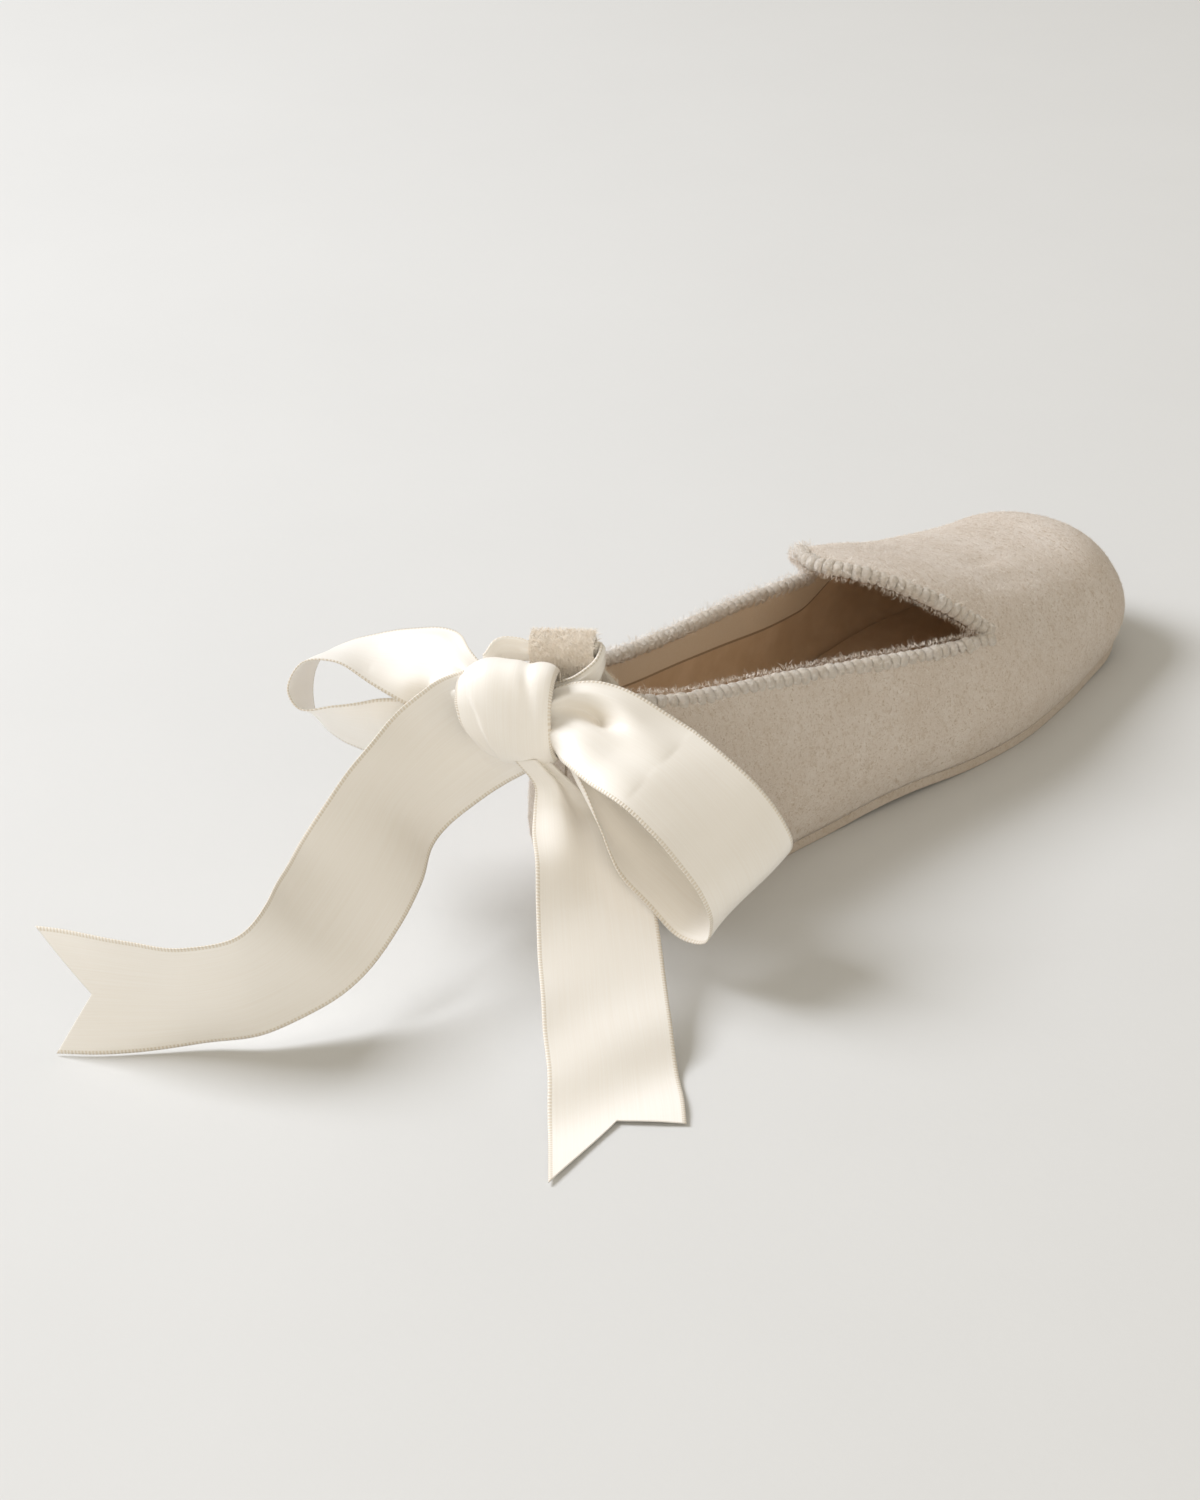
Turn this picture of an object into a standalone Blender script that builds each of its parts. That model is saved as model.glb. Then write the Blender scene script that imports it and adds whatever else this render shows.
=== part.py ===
"""Loafer slipper of thick wool felt, right shoe, with a ribbon bow through its heel loop.

Metres, +Z up, toe along +Y, the wearer's outer (lateral) side along +X. The origin lies
on the floor under the middle of the shoe. The upper, the sole and the insole all come
from one last, which is a set of sections along the shoe between rounded ends. The ribbon
is strips of one width along rows of folds, with a knot and a round band in the loop.
"""

from collections import namedtuple

import bpy
import bmesh
import numpy as np
from mathutils import Matrix

# Sizes of the last, over the outside of the felt
LENGTH = 0.250
BALL_WIDTH = 0.091
INSTEP_HEIGHT = 0.0685
INSTEP_FROM_HEEL = 0.46
HEEL_ROUND = 0.031
TOE_ROUND = 0.033
ROUND_POWER = 2.25
SIDE_POWER = 2.75
CROWN_POWER = 2.15
HEEL_UPRIGHT = 0.25

# The collar and the tongue
HEEL_HEIGHT = 0.0690
NOTCH_HEIGHT = 0.0395
LATERAL_DIP = 0.0008
MEDIAL_DIP = 0.0025
NOTCH_FROM_HEEL = 0.1535
TONGUE_REACH = 0.0390
TONGUE_POWER = 1.8

# Felt and sole
WALL = 0.0030
TUCK = 0.0040
TUCK_HEIGHT = 0.0160
SOLE_THICKNESS = 0.0035
SOLE_LEDGE = 0.0008
SOLE_EDGE_ROUND = 0.0010
INSOLE_THICKNESS = 0.0030
INSOLE_EDGE_ROUND = 0.0008
ARCH_RISE = 0.0015
ARCH_FROM = 0.30
ARCH_TO = 0.58
TOE_SPRING = 0.0050
SPRING_FROM = 0.78
SPRING_FADE = 0.0350
GAP = 0.0003

# The heel loop, a felt strap folded over the collar's back edge
LOOP_WIDTH = 0.0200
LOOP_FELT = 0.0024
LOOP_RISE = 0.0185
LOOP_CHANNEL = 0.0062
LOOP_COVER = 0.0032
LOOP_NECK = 0.0064
LOOP_PINCH = 0.0024
LOOP_TURN = np.radians(35)
LOOP_LEAN = 0.0055
LOOP_FREE_HEIGHT = 0.0070
LOOP_LEG_OUTSIDE = 0.0150
LOOP_LEG_INSIDE = 0.0080
LOOP_GAP = 0.0007
LOOP_GAP_INSIDE = 0.0018

# The satin ribbon and its knot
RIBBON_WIDTH = 0.0368
RIBBON_THICKNESS = 0.0006
GATHER_PUFF = 0.15
BAND_DIAMETER = 0.0046
KNOT_CENTRE = (-0.0035, -0.1430, 0.0698)
KNOT_TURN = np.radians(30)
KNOT_LENGTH = 0.0270
KNOT_HEIGHT = 0.0300
KNOT_DEPTH = 0.0165
KNOT_BARREL = 0.55

Section = namedtuple("Section", "along lateral medial top")

# Each row is a section: its place along the shoe from the heel as a share of LENGTH, its
# half widths as shares of BALL_WIDTH, and its top as a share of the height there, which
# goes from HEEL_HEIGHT to INSTEP_HEIGHT
SECTIONS = (
    Section(0.00, 0.350, 0.341, 1.152),
    Section(0.12, 0.363, 0.328, 1.054),
    Section(0.24, 0.381, 0.355, 0.997),
    Section(0.36, 0.413, 0.400, 0.979),
    Section(0.46, 0.455, 0.424, 0.99),
    Section(0.56, 0.495, 0.444, 0.895),
    Section(0.66, 0.508, 0.478, 0.765),
    Section(0.76, 0.471, 0.484, 0.665),
    Section(0.88, 0.406, 0.434, 0.600),
    Section(1.00, 0.385, 0.411, 0.595),
)

Fold = namedtuple("Fold", "x y z across_x across_y across_z spread")

# Each row is a fold: the middle of the ribbon there in millimetres, the way its width
# points, and how much of the width is spread out, the rest being gathered in a puff
RIGHT_LOOP = (
    Fold(10.8, -137.0, 71.0, -0.10, -0.45, -0.88, 0.52),
    Fold(21.0, -136.5, 71.0, 0.00, -0.85, -0.53, 0.74),
    Fold(32.0, -135.0, 67.0, 0.05, -0.94, -0.34, 0.90),
    Fold(42.5, -133.0, 63.0, 0.10, -0.97, -0.20, 1.00),
    Fold(52.0, -131.0, 56.5, 0.10, -0.97, -0.22, 1.00),
    Fold(59.5, -128.5, 49.0, 0.03, -0.96, -0.26, 1.00),
    Fold(65.5, -126.0, 40.5, 0.00, -0.96, -0.28, 1.00),
    Fold(67.0, -123.0, 31.0, 0.00, -0.96, -0.28, 1.00),
    Fold(61.5, -121.0, 23.0, 0.07, -0.95, -0.31, 1.00),
    Fold(52.0, -121.0, 21.8, 0.08, -0.94, -0.32, 1.00),
    Fold(42.0, -123.5, 28.5, 0.12, -0.95, -0.28, 1.00),
    Fold(35.0, -128.5, 36.0, 0.19, -0.96, -0.20, 0.95),
    Fold(28.0, -133.0, 47.0, 0.25, -0.95, -0.17, 0.70),
    Fold(20.0, -135.5, 57.0, 0.30, -0.94, -0.10, 0.45),
    Fold(11.5, -134.5, 61.5, 0.30, -0.94, -0.10, 0.32),
)
LEFT_LOOP = (
    Fold(-19.0, -143.7, 74.4, 0.25, -0.55, -0.80, 0.47),
    Fold(-32.5, -140.2, 73.2, 0.36, -0.77, -0.53, 0.74),
    Fold(-40.5, -144.0, 74.0, 0.54, -0.83, -0.14, 0.95),
    Fold(-49.0, -148.5, 75.0, 0.57, -0.82, 0.09, 1.00),
    Fold(-57.5, -153.5, 76.0, 0.58, -0.76, 0.29, 1.00),
    Fold(-63.5, -159.5, 74.0, 0.54, -0.74, 0.40, 1.00),
    Fold(-65.0, -163.5, 66.0, 0.50, -0.76, 0.42, 1.00),
    Fold(-61.5, -164.0, 59.5, 0.52, -0.69, 0.50, 1.00),
    Fold(-54.5, -160.0, 57.0, 0.50, -0.53, 0.68, 1.00),
    Fold(-46.5, -155.0, 55.5, 0.45, -0.42, 0.79, 1.00),
    Fold(-37.5, -149.5, 54.5, 0.39, -0.29, 0.87, 0.85),
    Fold(-28.5, -143.2, 56.0, 0.22, -0.05, 0.97, 0.55),
    Fold(-19.2, -139.8, 63.0, 0.10, 0.10, 0.98, 0.30),
)
LEFT_TAIL = (
    Fold(-16.3, -147.3, 59.7, 0.43, 0.32, -0.85, 1.00),
    Fold(-22.0, -155.0, 53.0, 0.37, 0.36, -0.86, 1.00),
    Fold(-23.5, -168.5, 46.0, 0.32, 0.39, -0.86, 1.00),
    Fold(-19.5, -182.0, 40.0, 0.52, 0.39, -0.76, 1.00),
    Fold(-16.0, -196.0, 34.0, 0.63, 0.37, -0.68, 1.00),
    Fold(-12.0, -210.5, 29.5, 0.50, 0.33, -0.80, 1.00),
    Fold(-10.0, -224.5, 26.0, 0.24, 0.28, -0.93, 1.00),
    Fold(-13.5, -238.0, 22.0, -0.02, 0.30, -0.95, 1.00),
    Fold(-24.0, -249.0, 19.8, -0.07, 0.29, -0.95, 1.00),
    Fold(-36.5, -258.0, 19.2, 0.00, 0.12, -0.99, 1.00),
    Fold(-60.0, -272.0, 19.0, 0.16, -0.13, -0.98, 1.00),
)
RIGHT_TAIL = (
    Fold(4.8, -142.5, 55.9, 0.37, 0.84, -0.39, 0.30),
    Fold(10.5, -138.5, 47.5, 0.37, 0.84, -0.39, 0.42),
    Fold(14.5, -138.0, 42.0, 0.37, 0.84, -0.39, 0.65),
    Fold(21.5, -141.5, 37.0, 0.37, 0.85, -0.37, 0.87),
    Fold(29.5, -147.0, 31.8, 0.42, 0.84, -0.36, 0.98),
    Fold(36.5, -153.5, 25.6, 0.45, 0.84, -0.31, 1.00),
    Fold(50.0, -167.0, 17.0, 0.54, 0.80, -0.25, 1.00),
    Fold(64.0, -181.0, 11.3, 0.54, 0.80, -0.25, 1.00),
    Fold(75.0, -191.5, 5.2, 0.59, 0.79, -0.19, 1.00),
    Fold(85.0, -202.0, 1.6, 0.64, 0.77, -0.04, 1.00),
    Fold(103.0, -222.0, 0.9, 0.64, 0.77, 0.00, 1.00),
)

Cut = namedtuple("Cut", "first_edge notch second_edge")

# How far each tail's cut end stays short of its last fold, at both edges and the notch
LEFT_CUT = Cut(0.0000, 0.0140, 0.0020)
RIGHT_CUT = Cut(0.0000, 0.0255, 0.0210)

# The band's way round to the knot, from both ends of the loop's channel, in millimetres
BAND_LEFT = ((-14.0, -135.0, 82.5), (-14.5, -139.0, 80.0))
BAND_RIGHT = ((15.5, -120.0, 80.0), (14.0, -127.0, 78.0), (6.0, -132.0, 77.5))

# Columns around the shoe and rows up its side
HEEL_COLUMNS = 24
VAMP_COLUMNS = 22
SIDE_ROWS = 9
CROWN_ROWS = 8
SOLE_COLUMNS = 40
SOLE_RINGS = (1.0, 0.8, 0.45, 0.0)
RIBBON_ROWS = 36
RIBBON_COLUMNS = 4

LATERAL = 1.0
MEDIAL = -1.0
HEEL_END = -LENGTH / 2
TOE_END = LENGTH / 2
HEEL_CENTRE = HEEL_END + HEEL_ROUND
TOE_CENTRE = TOE_END - TOE_ROUND
NOTCH = HEEL_END + NOTCH_FROM_HEEL
UPPER_BASE = SOLE_THICKNESS + GAP


def smooth_through(x, stations, values):
    """Cubic pieces through the values, with the slope of the chord at each station."""
    stations = np.asarray(stations, float)
    values = np.asarray(values, float)
    slope = np.gradient(values, stations)
    x = np.clip(x, stations[0], stations[-1])
    i = np.clip(np.searchsorted(stations, x) - 1, 0, len(stations) - 2)
    step = stations[i + 1] - stations[i]
    t = (x - stations[i]) / step
    start = values[i] * (1 + 2 * t) * (1 - t) ** 2 + slope[i] * step * t * (1 - t) ** 2
    end = values[i + 1] * t ** 2 * (3 - 2 * t) - slope[i + 1] * step * t ** 2 * (1 - t)
    return start + end


def table(rows, column, y):
    along = (y - HEEL_END) / LENGTH
    return smooth_through(along, [row.along for row in rows],
                          [getattr(row, column) for row in rows])


def spine(y):
    """The line along the shoe's middle that the rounded ends turn about."""
    return np.clip(y, HEEL_CENTRE, TOE_CENTRE)


def half_width(y, side):
    """Half the last's widest line, before its ends are rounded."""
    return BALL_WIDTH * table(SECTIONS, "lateral" if side > 0 else "medial", y)


def end_rounding(y):
    """Share of the half width that is left towards the heel's and the toe's end."""
    heel = np.clip((HEEL_CENTRE - y) / HEEL_ROUND, 0, 1)
    toe = np.clip((y - TOE_CENTRE) / TOE_ROUND, 0, 1)
    return ((1 - heel ** ROUND_POWER) * (1 - toe ** ROUND_POWER)) ** (1 / ROUND_POWER)


def plan_point(side, y, across, along, inset):
    """Plan place at shares across and along from the spine, drawn in by the inset."""
    middle = spine(y)
    width = half_width(y, side)
    end_round = np.where(y < 0, HEEL_ROUND, TOE_ROUND)
    x = side * width * end_rounding(y) * np.maximum(across - inset / width, 0)
    return x, middle + (y - middle) * np.maximum(along - inset / end_round, 0)


def last_height(y):
    """The last's top, its shares taken of a line from the heel's to the instep's height."""
    to_instep = np.clip((y - HEEL_END) / (INSTEP_FROM_HEEL * LENGTH), 0, 1)
    height = HEEL_HEIGHT + (INSTEP_HEIGHT - HEEL_HEIGHT) * to_instep
    return height * table(SECTIONS, "top", spine(y))


def lift(y):
    """How far the underside stands off the floor: a wave at the arch, a square curve at
    the toe, and flat under the heel and the ball."""
    along = (y - HEEL_END) / LENGTH
    arch = np.clip((along - ARCH_FROM) / (ARCH_TO - ARCH_FROM), 0, 1)
    spring = np.clip((along - SPRING_FROM) / (1 - SPRING_FROM), 0, 1)
    return ARCH_RISE * np.sin(np.pi * arch) ** 2 + TOE_SPRING * spring ** 2


def on_last(side, y, turn):
    """Points of the last. y is the place on the outline, turn goes from 0 at the sole to
    a quarter turn at the middle of the top."""
    y, turn = np.broadcast_arrays(np.asarray(y, float), np.asarray(turn, float))
    reach = np.cos(turn) ** (2 / SIDE_POWER)
    reach = np.where(turn > np.pi / 2 - 1e-9, 0.0, reach)
    height = (last_height(y) - UPPER_BASE) * np.sin(turn) ** (2 / CROWN_POWER)
    tuck = TUCK * np.clip(1 - height / TUCK_HEIGHT, 0, 1) ** 2
    along = np.where(y < 0, reach ** HEEL_UPRIGHT, reach)
    x, y_out = plan_point(side, y, reach, along, tuck)
    fade = np.clip(1 - height / SPRING_FADE, 0, 1) ** 1.5
    z = UPPER_BASE + height + lift(y) * fade
    return np.stack([x, y_out, z], axis=-1)


def turn_at_height(y, z):
    share = np.clip((z - UPPER_BASE) / (last_height(y) - UPPER_BASE), 0, 1)
    return np.arcsin(share ** (CROWN_POWER / 2))


def collar_height(side, y):
    """The side's top edge: straight from heel to notch but for a slight dip."""
    t = np.clip((y - HEEL_END) / (NOTCH - HEEL_END), 0, 1)
    dip = LATERAL_DIP if side > 0 else MEDIAL_DIP
    return HEEL_HEIGHT + (NOTCH_HEIGHT - HEEL_HEIGHT) * t - 4 * dip * t * (1 - t)


def quarter_grid(side, columns, rows):
    """The side from the centre back to the notch, from the sole to the collar."""
    y = HEEL_END + (NOTCH - HEEL_END) * (1 - np.cos(np.linspace(0, np.pi / 2, columns + 1)))
    top = turn_at_height(y, collar_height(side, y))
    turn = top[:, None] * np.linspace(0, 1, rows + 1)[None, :]
    return on_last(side, y[:, None], turn)


def vamp_grid(side, columns, rows_below, rows_above):
    """The front from the notch to the middle of the toe, from the sole to the top line.

    Above the notch the columns slide back to the tongue's edge, whose plan is a power
    curve of the way in from the notch."""
    a = np.linspace(0, 1, columns + 1)
    y_base = NOTCH + (TOE_END - NOTCH) * np.sin(a * np.pi / 2)
    belt = float(turn_at_height(np.array(NOTCH), NOTCH_HEIGHT))
    below = belt * np.linspace(0, 1, rows_below + 1)
    remain = np.linspace(1, 0, rows_above + 1)[1:]
    above = np.arccos(np.cos(belt) * remain ** (SIDE_POWER / 2))
    turn = np.concatenate([below, above])
    remain = np.concatenate([np.ones(rows_below + 1), remain])
    slide = TONGUE_REACH * (1 - remain ** TONGUE_POWER)
    y = y_base[:, None] - slide[None, :] * ((1 - a) ** 1.5)[:, None]
    return on_last(side, y, turn[None, :])


def add_grid(mesh, points, flip):
    """Quads between neighbouring points of a grid, facing out on the side asked for."""
    columns, rows = points.shape[:2]
    verts = [[mesh.verts.new(points[c, r]) for r in range(rows)] for c in range(columns)]
    for c in range(columns - 1):
        for r in range(rows - 1):
            ring = [verts[c][r], verts[c + 1][r], verts[c + 1][r + 1], verts[c][r + 1]]
            mesh.faces.new(ring[::-1] if flip else ring)


def finish_mesh(mesh, name, material):
    bmesh.ops.remove_doubles(mesh, verts=mesh.verts, dist=0.00001)
    data = bpy.data.meshes.new(name)
    mesh.to_mesh(data)
    mesh.free()
    data.materials.append(material)
    data.shade_smooth()
    obj = bpy.data.objects.new(name, data)
    PARTS.objects.link(obj)
    return obj


def solidify(obj, thickness, offset):
    wall = obj.modifiers.new("Wall", "SOLIDIFY")
    wall.thickness = thickness
    wall.offset = offset
    wall.use_even_offset = True
    wall.use_quality_normals = True
    return wall


def round_edges(obj, width, segments):
    bevel = obj.modifiers.new("Rounded edge", "BEVEL")
    bevel.width = width
    bevel.segments = segments
    bevel.limit_method = "ANGLE"
    bevel.angle_limit = np.radians(50)


def make_material(name, colour, roughness):
    material = bpy.data.materials.new(name)
    material.use_nodes = True
    shader = material.node_tree.nodes["Principled BSDF"]
    shader.inputs["Base Color"].default_value = (*colour, 1.0)
    shader.inputs["Roughness"].default_value = roughness
    shader.inputs["Metallic"].default_value = 0.0
    return material


def make_upper():
    """One felt wall, open at the collar and underneath."""
    mesh = bmesh.new()
    for side in (LATERAL, MEDIAL):
        add_grid(mesh, quarter_grid(side, HEEL_COLUMNS, SIDE_ROWS), side < 0)
        add_grid(mesh, vamp_grid(side, VAMP_COLUMNS, SIDE_ROWS, CROWN_ROWS), side < 0)
    upper = finish_mesh(mesh, "upper", make_material("cream_felt", (0.72, 0.64, 0.56), 0.95))
    solidify(upper, WALL, -1)
    return upper


def sole_sheet(inset, base, name, material):
    """The last's outline drawn in by the inset, as rings about the spine."""
    mesh = bmesh.new()
    y = LENGTH / 2 * -np.cos(np.linspace(0, np.pi, SOLE_COLUMNS + 1))[:, None]
    ring = np.array(SOLE_RINGS)[None, ::-1]
    for side in (LATERAL, MEDIAL):
        x_edge, y_edge = plan_point(side, y, 1.0, 1.0, inset)
        plan_y = spine(y) + (y_edge - spine(y)) * ring
        z = base + lift(spine(y) + (y - spine(y)) * ring)
        add_grid(mesh, np.stack([x_edge * ring, plan_y, z], axis=-1), side > 0)
    return finish_mesh(mesh, name, material)


def make_sole():
    """Felt outsole, flat under the heel and the ball, with its underside on the floor."""
    felt = make_material("sole_felt", (0.66, 0.58, 0.50), 0.95)
    sole = sole_sheet(TUCK - SOLE_LEDGE, 0.0, "sole", felt)
    solidify(sole, SOLE_THICKNESS, 1)
    round_edges(sole, SOLE_EDGE_ROUND, 2)
    return sole


def make_insole():
    """Footbed inside the wall, on the sole."""
    felt = make_material("lining_felt", (0.36, 0.25, 0.16), 0.95)
    insole = sole_sheet(TUCK + WALL + GAP, UPPER_BASE, "insole", felt)
    solidify(insole, INSOLE_THICKNESS, 1)
    round_edges(insole, INSOLE_EDGE_ROUND, 1)
    return insole


def heel_line(z, outward):
    """The wall's outer face around the centre back, at a height that is z at the back and
    follows the collar, moved out along its own normal, from medial to lateral."""
    y = HEEL_END + HEEL_ROUND * (1 - np.cos(np.linspace(0, np.pi / 2, 24)))
    tilt = 0.01
    rows = []
    for step in (-tilt, 0.0, tilt):
        halves = []
        for side in (MEDIAL, LATERAL):
            turn = turn_at_height(y, z - HEEL_HEIGHT + collar_height(side, y))
            halves.append(on_last(side, y, turn + step))
        rows.append(np.concatenate([halves[0][::-1], halves[1][1:]]))
    along = np.gradient(rows[1], axis=0)
    normal = np.cross(along, rows[2] - rows[0])
    normal /= np.linalg.norm(normal, axis=1)[:, None]
    return rows[1] + normal * outward


def loop_pivot():
    """The wall's own middle at the centre back of the collar."""
    line = heel_line(HEEL_HEIGHT, -WALL / 2)
    return np.interp(0.0, line[:, 0], line[:, 1])


def channel_centre():
    """Middle of the loop's round channel, which leans back from above the wall."""
    height = HEEL_HEIGHT + LOOP_RISE - LOOP_FELT - LOOP_CHANNEL / 2
    return np.array([0.0, loop_pivot() - LOOP_LEAN, height])


def loop_path():
    """Fold of the heel strap: rows of (outward from the wall's outer face, height). It
    comes up outside the wall, is pinched to a neck, rounds the channel and goes down
    inside."""
    middle = -WALL / 2
    leg = WALL / 2 + LOOP_GAP + LOOP_FELT / 2
    inner_leg = WALL / 2 + LOOP_GAP_INSIDE + LOOP_FELT / 2
    bulge = LOOP_CHANNEL / 2 + LOOP_FELT / 2
    centre = channel_centre()[2]
    rows = [(middle + leg, HEEL_HEIGHT - LOOP_LEG_OUTSIDE * s) for s in (1.0, 0.66, 0.33, 0.0)]
    rows.append((middle + leg, HEEL_HEIGHT + LOOP_COVER))
    rows.append((middle + LOOP_PINCH, HEEL_HEIGHT + LOOP_NECK))
    for angle in np.linspace(-np.pi / 4, np.pi * 5 / 4, 13):
        rows.append((middle + bulge * np.cos(angle), centre + bulge * np.sin(angle)))
    rows.append((middle - LOOP_PINCH, HEEL_HEIGHT + LOOP_NECK))
    rows.append((middle - inner_leg, HEEL_HEIGHT + LOOP_COVER))
    for share in (0.0, 0.5, 1.0):
        rows.append((middle - inner_leg, HEEL_HEIGHT - LOOP_LEG_INSIDE * share))
    return rows


def make_heel_loop():
    """Felt strap folded over the collar. Above the wall it comes free of the heel's
    curve, leans back and turns about the upright line, as the ribbon pulls it."""
    mesh = bmesh.new()
    across = np.linspace(-LOOP_WIDTH / 2, LOOP_WIDTH / 2, 9)
    pivot = loop_pivot()
    grid = []
    for outward, z in loop_path():
        on_wall = min(z, HEEL_HEIGHT)
        line = heel_line(on_wall, outward)
        on_wall_y = np.interp(across, line[:, 0], line[:, 1]) - pivot
        on_wall_z = np.interp(across, line[:, 0], line[:, 2]) + z - on_wall
        rise = np.clip((z - HEEL_HEIGHT - LOOP_COVER) / LOOP_FREE_HEIGHT, 0, 1)
        free = rise ** 2 * (3 - 2 * rise)
        behind = on_wall_y + (-outward - WALL / 2 - on_wall_y) * free
        height = on_wall_z + (z - on_wall_z) * free
        turn = LOOP_TURN * free
        x = across * np.cos(turn) - behind * np.sin(turn)
        y = pivot + across * np.sin(turn) + behind * np.cos(turn) - LOOP_LEAN * free
        grid.append(np.stack([x, y, height], axis=-1))
    add_grid(mesh, np.array(grid), True)
    felt = make_material("loop_felt", (0.72, 0.64, 0.56), 0.95)
    loop = finish_mesh(mesh, "heel_loop", felt)
    solidify(loop, LOOP_FELT, 0)
    return loop


def along_folds(folds, s):
    """Middle, unit vector across and spread at the distances s, in metres, and straight on
    past the last fold."""
    rows = np.array(folds)
    place = rows[:, :3] / 1000
    stations = np.concatenate([[0], np.cumsum(np.linalg.norm(np.diff(place, axis=0), axis=1))])
    middle = np.stack([smooth_through(s, stations, place[:, k]) for k in range(3)], axis=-1)
    across = np.stack([smooth_through(s, stations, rows[:, k]) for k in (3, 4, 5)], axis=-1)
    across /= np.linalg.norm(across, axis=-1)[..., None]
    return middle, across, np.clip(smooth_through(s, stations, rows[:, 6]), 0, 1)


def fold_length(folds):
    place = np.array(folds)[:, :3] / 1000
    return np.linalg.norm(np.diff(place, axis=0), axis=1).sum()


def ribbon_sheet(folds, puff_side, cut):
    """Grid of a strip's middle surface. Where the width is gathered, the surface puffs out
    as a square curve across, by the share that the spread leaves."""
    v = np.linspace(-1, 1, RIBBON_COLUMNS + 1)[None, :]
    u = np.linspace(0, 1, RIBBON_ROWS + 1)[:, None]
    short = np.interp(v, (-1, 0, 1), cut)
    s = fold_length(folds) * u - short * np.clip((u - 0.75) / 0.25, 0, 1)
    middle, across, spread = along_folds(folds, s)
    ahead = along_folds(folds, s + 0.001)[0] - along_folds(folds, s - 0.001)[0]
    normal = np.cross(across, ahead)
    normal /= np.linalg.norm(normal, axis=-1)[..., None]
    puff = puff_side * GATHER_PUFF * RIBBON_WIDTH * np.sqrt(1 - spread ** 2) * (1 - v ** 2)
    half = RIBBON_WIDTH / 2 * spread * v
    return middle + across * half[..., None] + normal * puff[..., None]


def make_ribbon(name, folds, puff_side, cut=Cut(0.0, 0.0, 0.0)):
    mesh = bmesh.new()
    add_grid(mesh, ribbon_sheet(folds, puff_side, cut), False)
    ribbon = finish_mesh(mesh, name, SATIN)
    solidify(ribbon, RIBBON_THICKNESS, 0)
    return ribbon


def make_knot():
    """A barrel lying along the bow: a sphere drawn out flat at its ends and its sides."""
    mesh = bmesh.new()
    bmesh.ops.create_uvsphere(mesh, u_segments=28, v_segments=16, radius=1.0)
    for vert in mesh.verts:
        x, y, z = vert.co
        round_share = max(np.hypot(x, y), 0.000001) ** KNOT_BARREL
        along = np.sign(z) * abs(z) ** KNOT_BARREL * KNOT_LENGTH / 2
        direction = np.arctan2(y, x)
        deep = np.cos(direction) * round_share * KNOT_DEPTH / 2
        tall = np.sin(direction) * round_share * KNOT_HEIGHT / 2
        vert.co = (
            KNOT_CENTRE[0] + along * np.cos(KNOT_TURN) + deep * np.sin(KNOT_TURN),
            KNOT_CENTRE[1] + along * np.sin(KNOT_TURN) - deep * np.cos(KNOT_TURN),
            KNOT_CENTRE[2] + tall,
        )
    bmesh.ops.recalc_face_normals(mesh, faces=mesh.faces)
    return finish_mesh(mesh, "ribbon_knot", SATIN)


def make_band(middle):
    """Round bundle of ribbon through the channel, bent round to the knot at both ends."""
    reach = np.array([np.cos(LOOP_TURN), np.sin(LOOP_TURN), 0.0]) * LOOP_WIDTH / 2
    route = [np.array(point) / 1000 for point in BAND_LEFT[::-1]]
    route += [middle + reach * share for share in (-1.15, -0.5, 0.0, 0.5, 1.15)]
    route += [np.array(point) / 1000 for point in BAND_RIGHT]
    route = np.array(route)
    stations = np.concatenate([[0], np.cumsum(np.linalg.norm(np.diff(route, axis=0), axis=1))])
    s = np.linspace(0, stations[-1], 25)
    points = np.stack([smooth_through(s, stations, route[:, k]) for k in range(3)], axis=-1)
    curve = bpy.data.curves.new("ribbon_band", "CURVE")
    curve.dimensions = "3D"
    curve.bevel_depth = BAND_DIAMETER / 2
    curve.bevel_resolution = 2
    curve.use_fill_caps = True
    spline = curve.splines.new("POLY")
    spline.points.add(len(points) - 1)
    for target, point in zip(spline.points, points):
        target.co = (*point, 1.0)
    curve.materials.append(SATIN)
    band = bpy.data.objects.new("ribbon_band", curve)
    PARTS.objects.link(band)
    return band


def centre_on_origin(shoe, ribbons):
    """Moves all the pieces so that the shoe's own box stands centred on the origin."""
    bpy.context.view_layer.update()
    graph = bpy.context.evaluated_depsgraph_get()
    boxes = [piece.evaluated_get(graph).bound_box for piece in shoe]
    corners = np.array([corner[:] for box in boxes for corner in box])
    middle = (corners.min(axis=0) + corners.max(axis=0)) / 2
    for piece in shoe + ribbons:
        piece.data.transform(Matrix.Translation((-middle[0], -middle[1], 0.0)))


for old in list(bpy.data.objects):
    bpy.data.objects.remove(old, do_unlink=True)

PARTS = bpy.data.collections.new("loafer_slipper")
bpy.context.scene.collection.children.link(PARTS)

SATIN = make_material("ivory_satin", (0.83, 0.78, 0.69), 0.35)

SHOE = [make_upper(), make_sole(), make_insole(), make_heel_loop()]
RIBBONS = [
    make_band(channel_centre()),
    make_knot(),
    make_ribbon("ribbon_left_loop", LEFT_LOOP, -1),
    make_ribbon("ribbon_right_loop", RIGHT_LOOP, 1),
    make_ribbon("ribbon_left_tail", LEFT_TAIL, -1, LEFT_CUT),
    make_ribbon("ribbon_right_tail", RIGHT_TAIL, -1, RIGHT_CUT),
]
centre_on_origin(SHOE, RIBBONS)
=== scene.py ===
"""Loafer slipper of thick wool felt, right shoe, with a satin bow through its heel loop.

Metres, +Z up, toe along +Y, the wearer's outer side along +X. The shoe stands on the
floor, centred on the origin.
"""

import bpy
import bmesh
import numpy as np
from mathutils import Matrix


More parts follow.
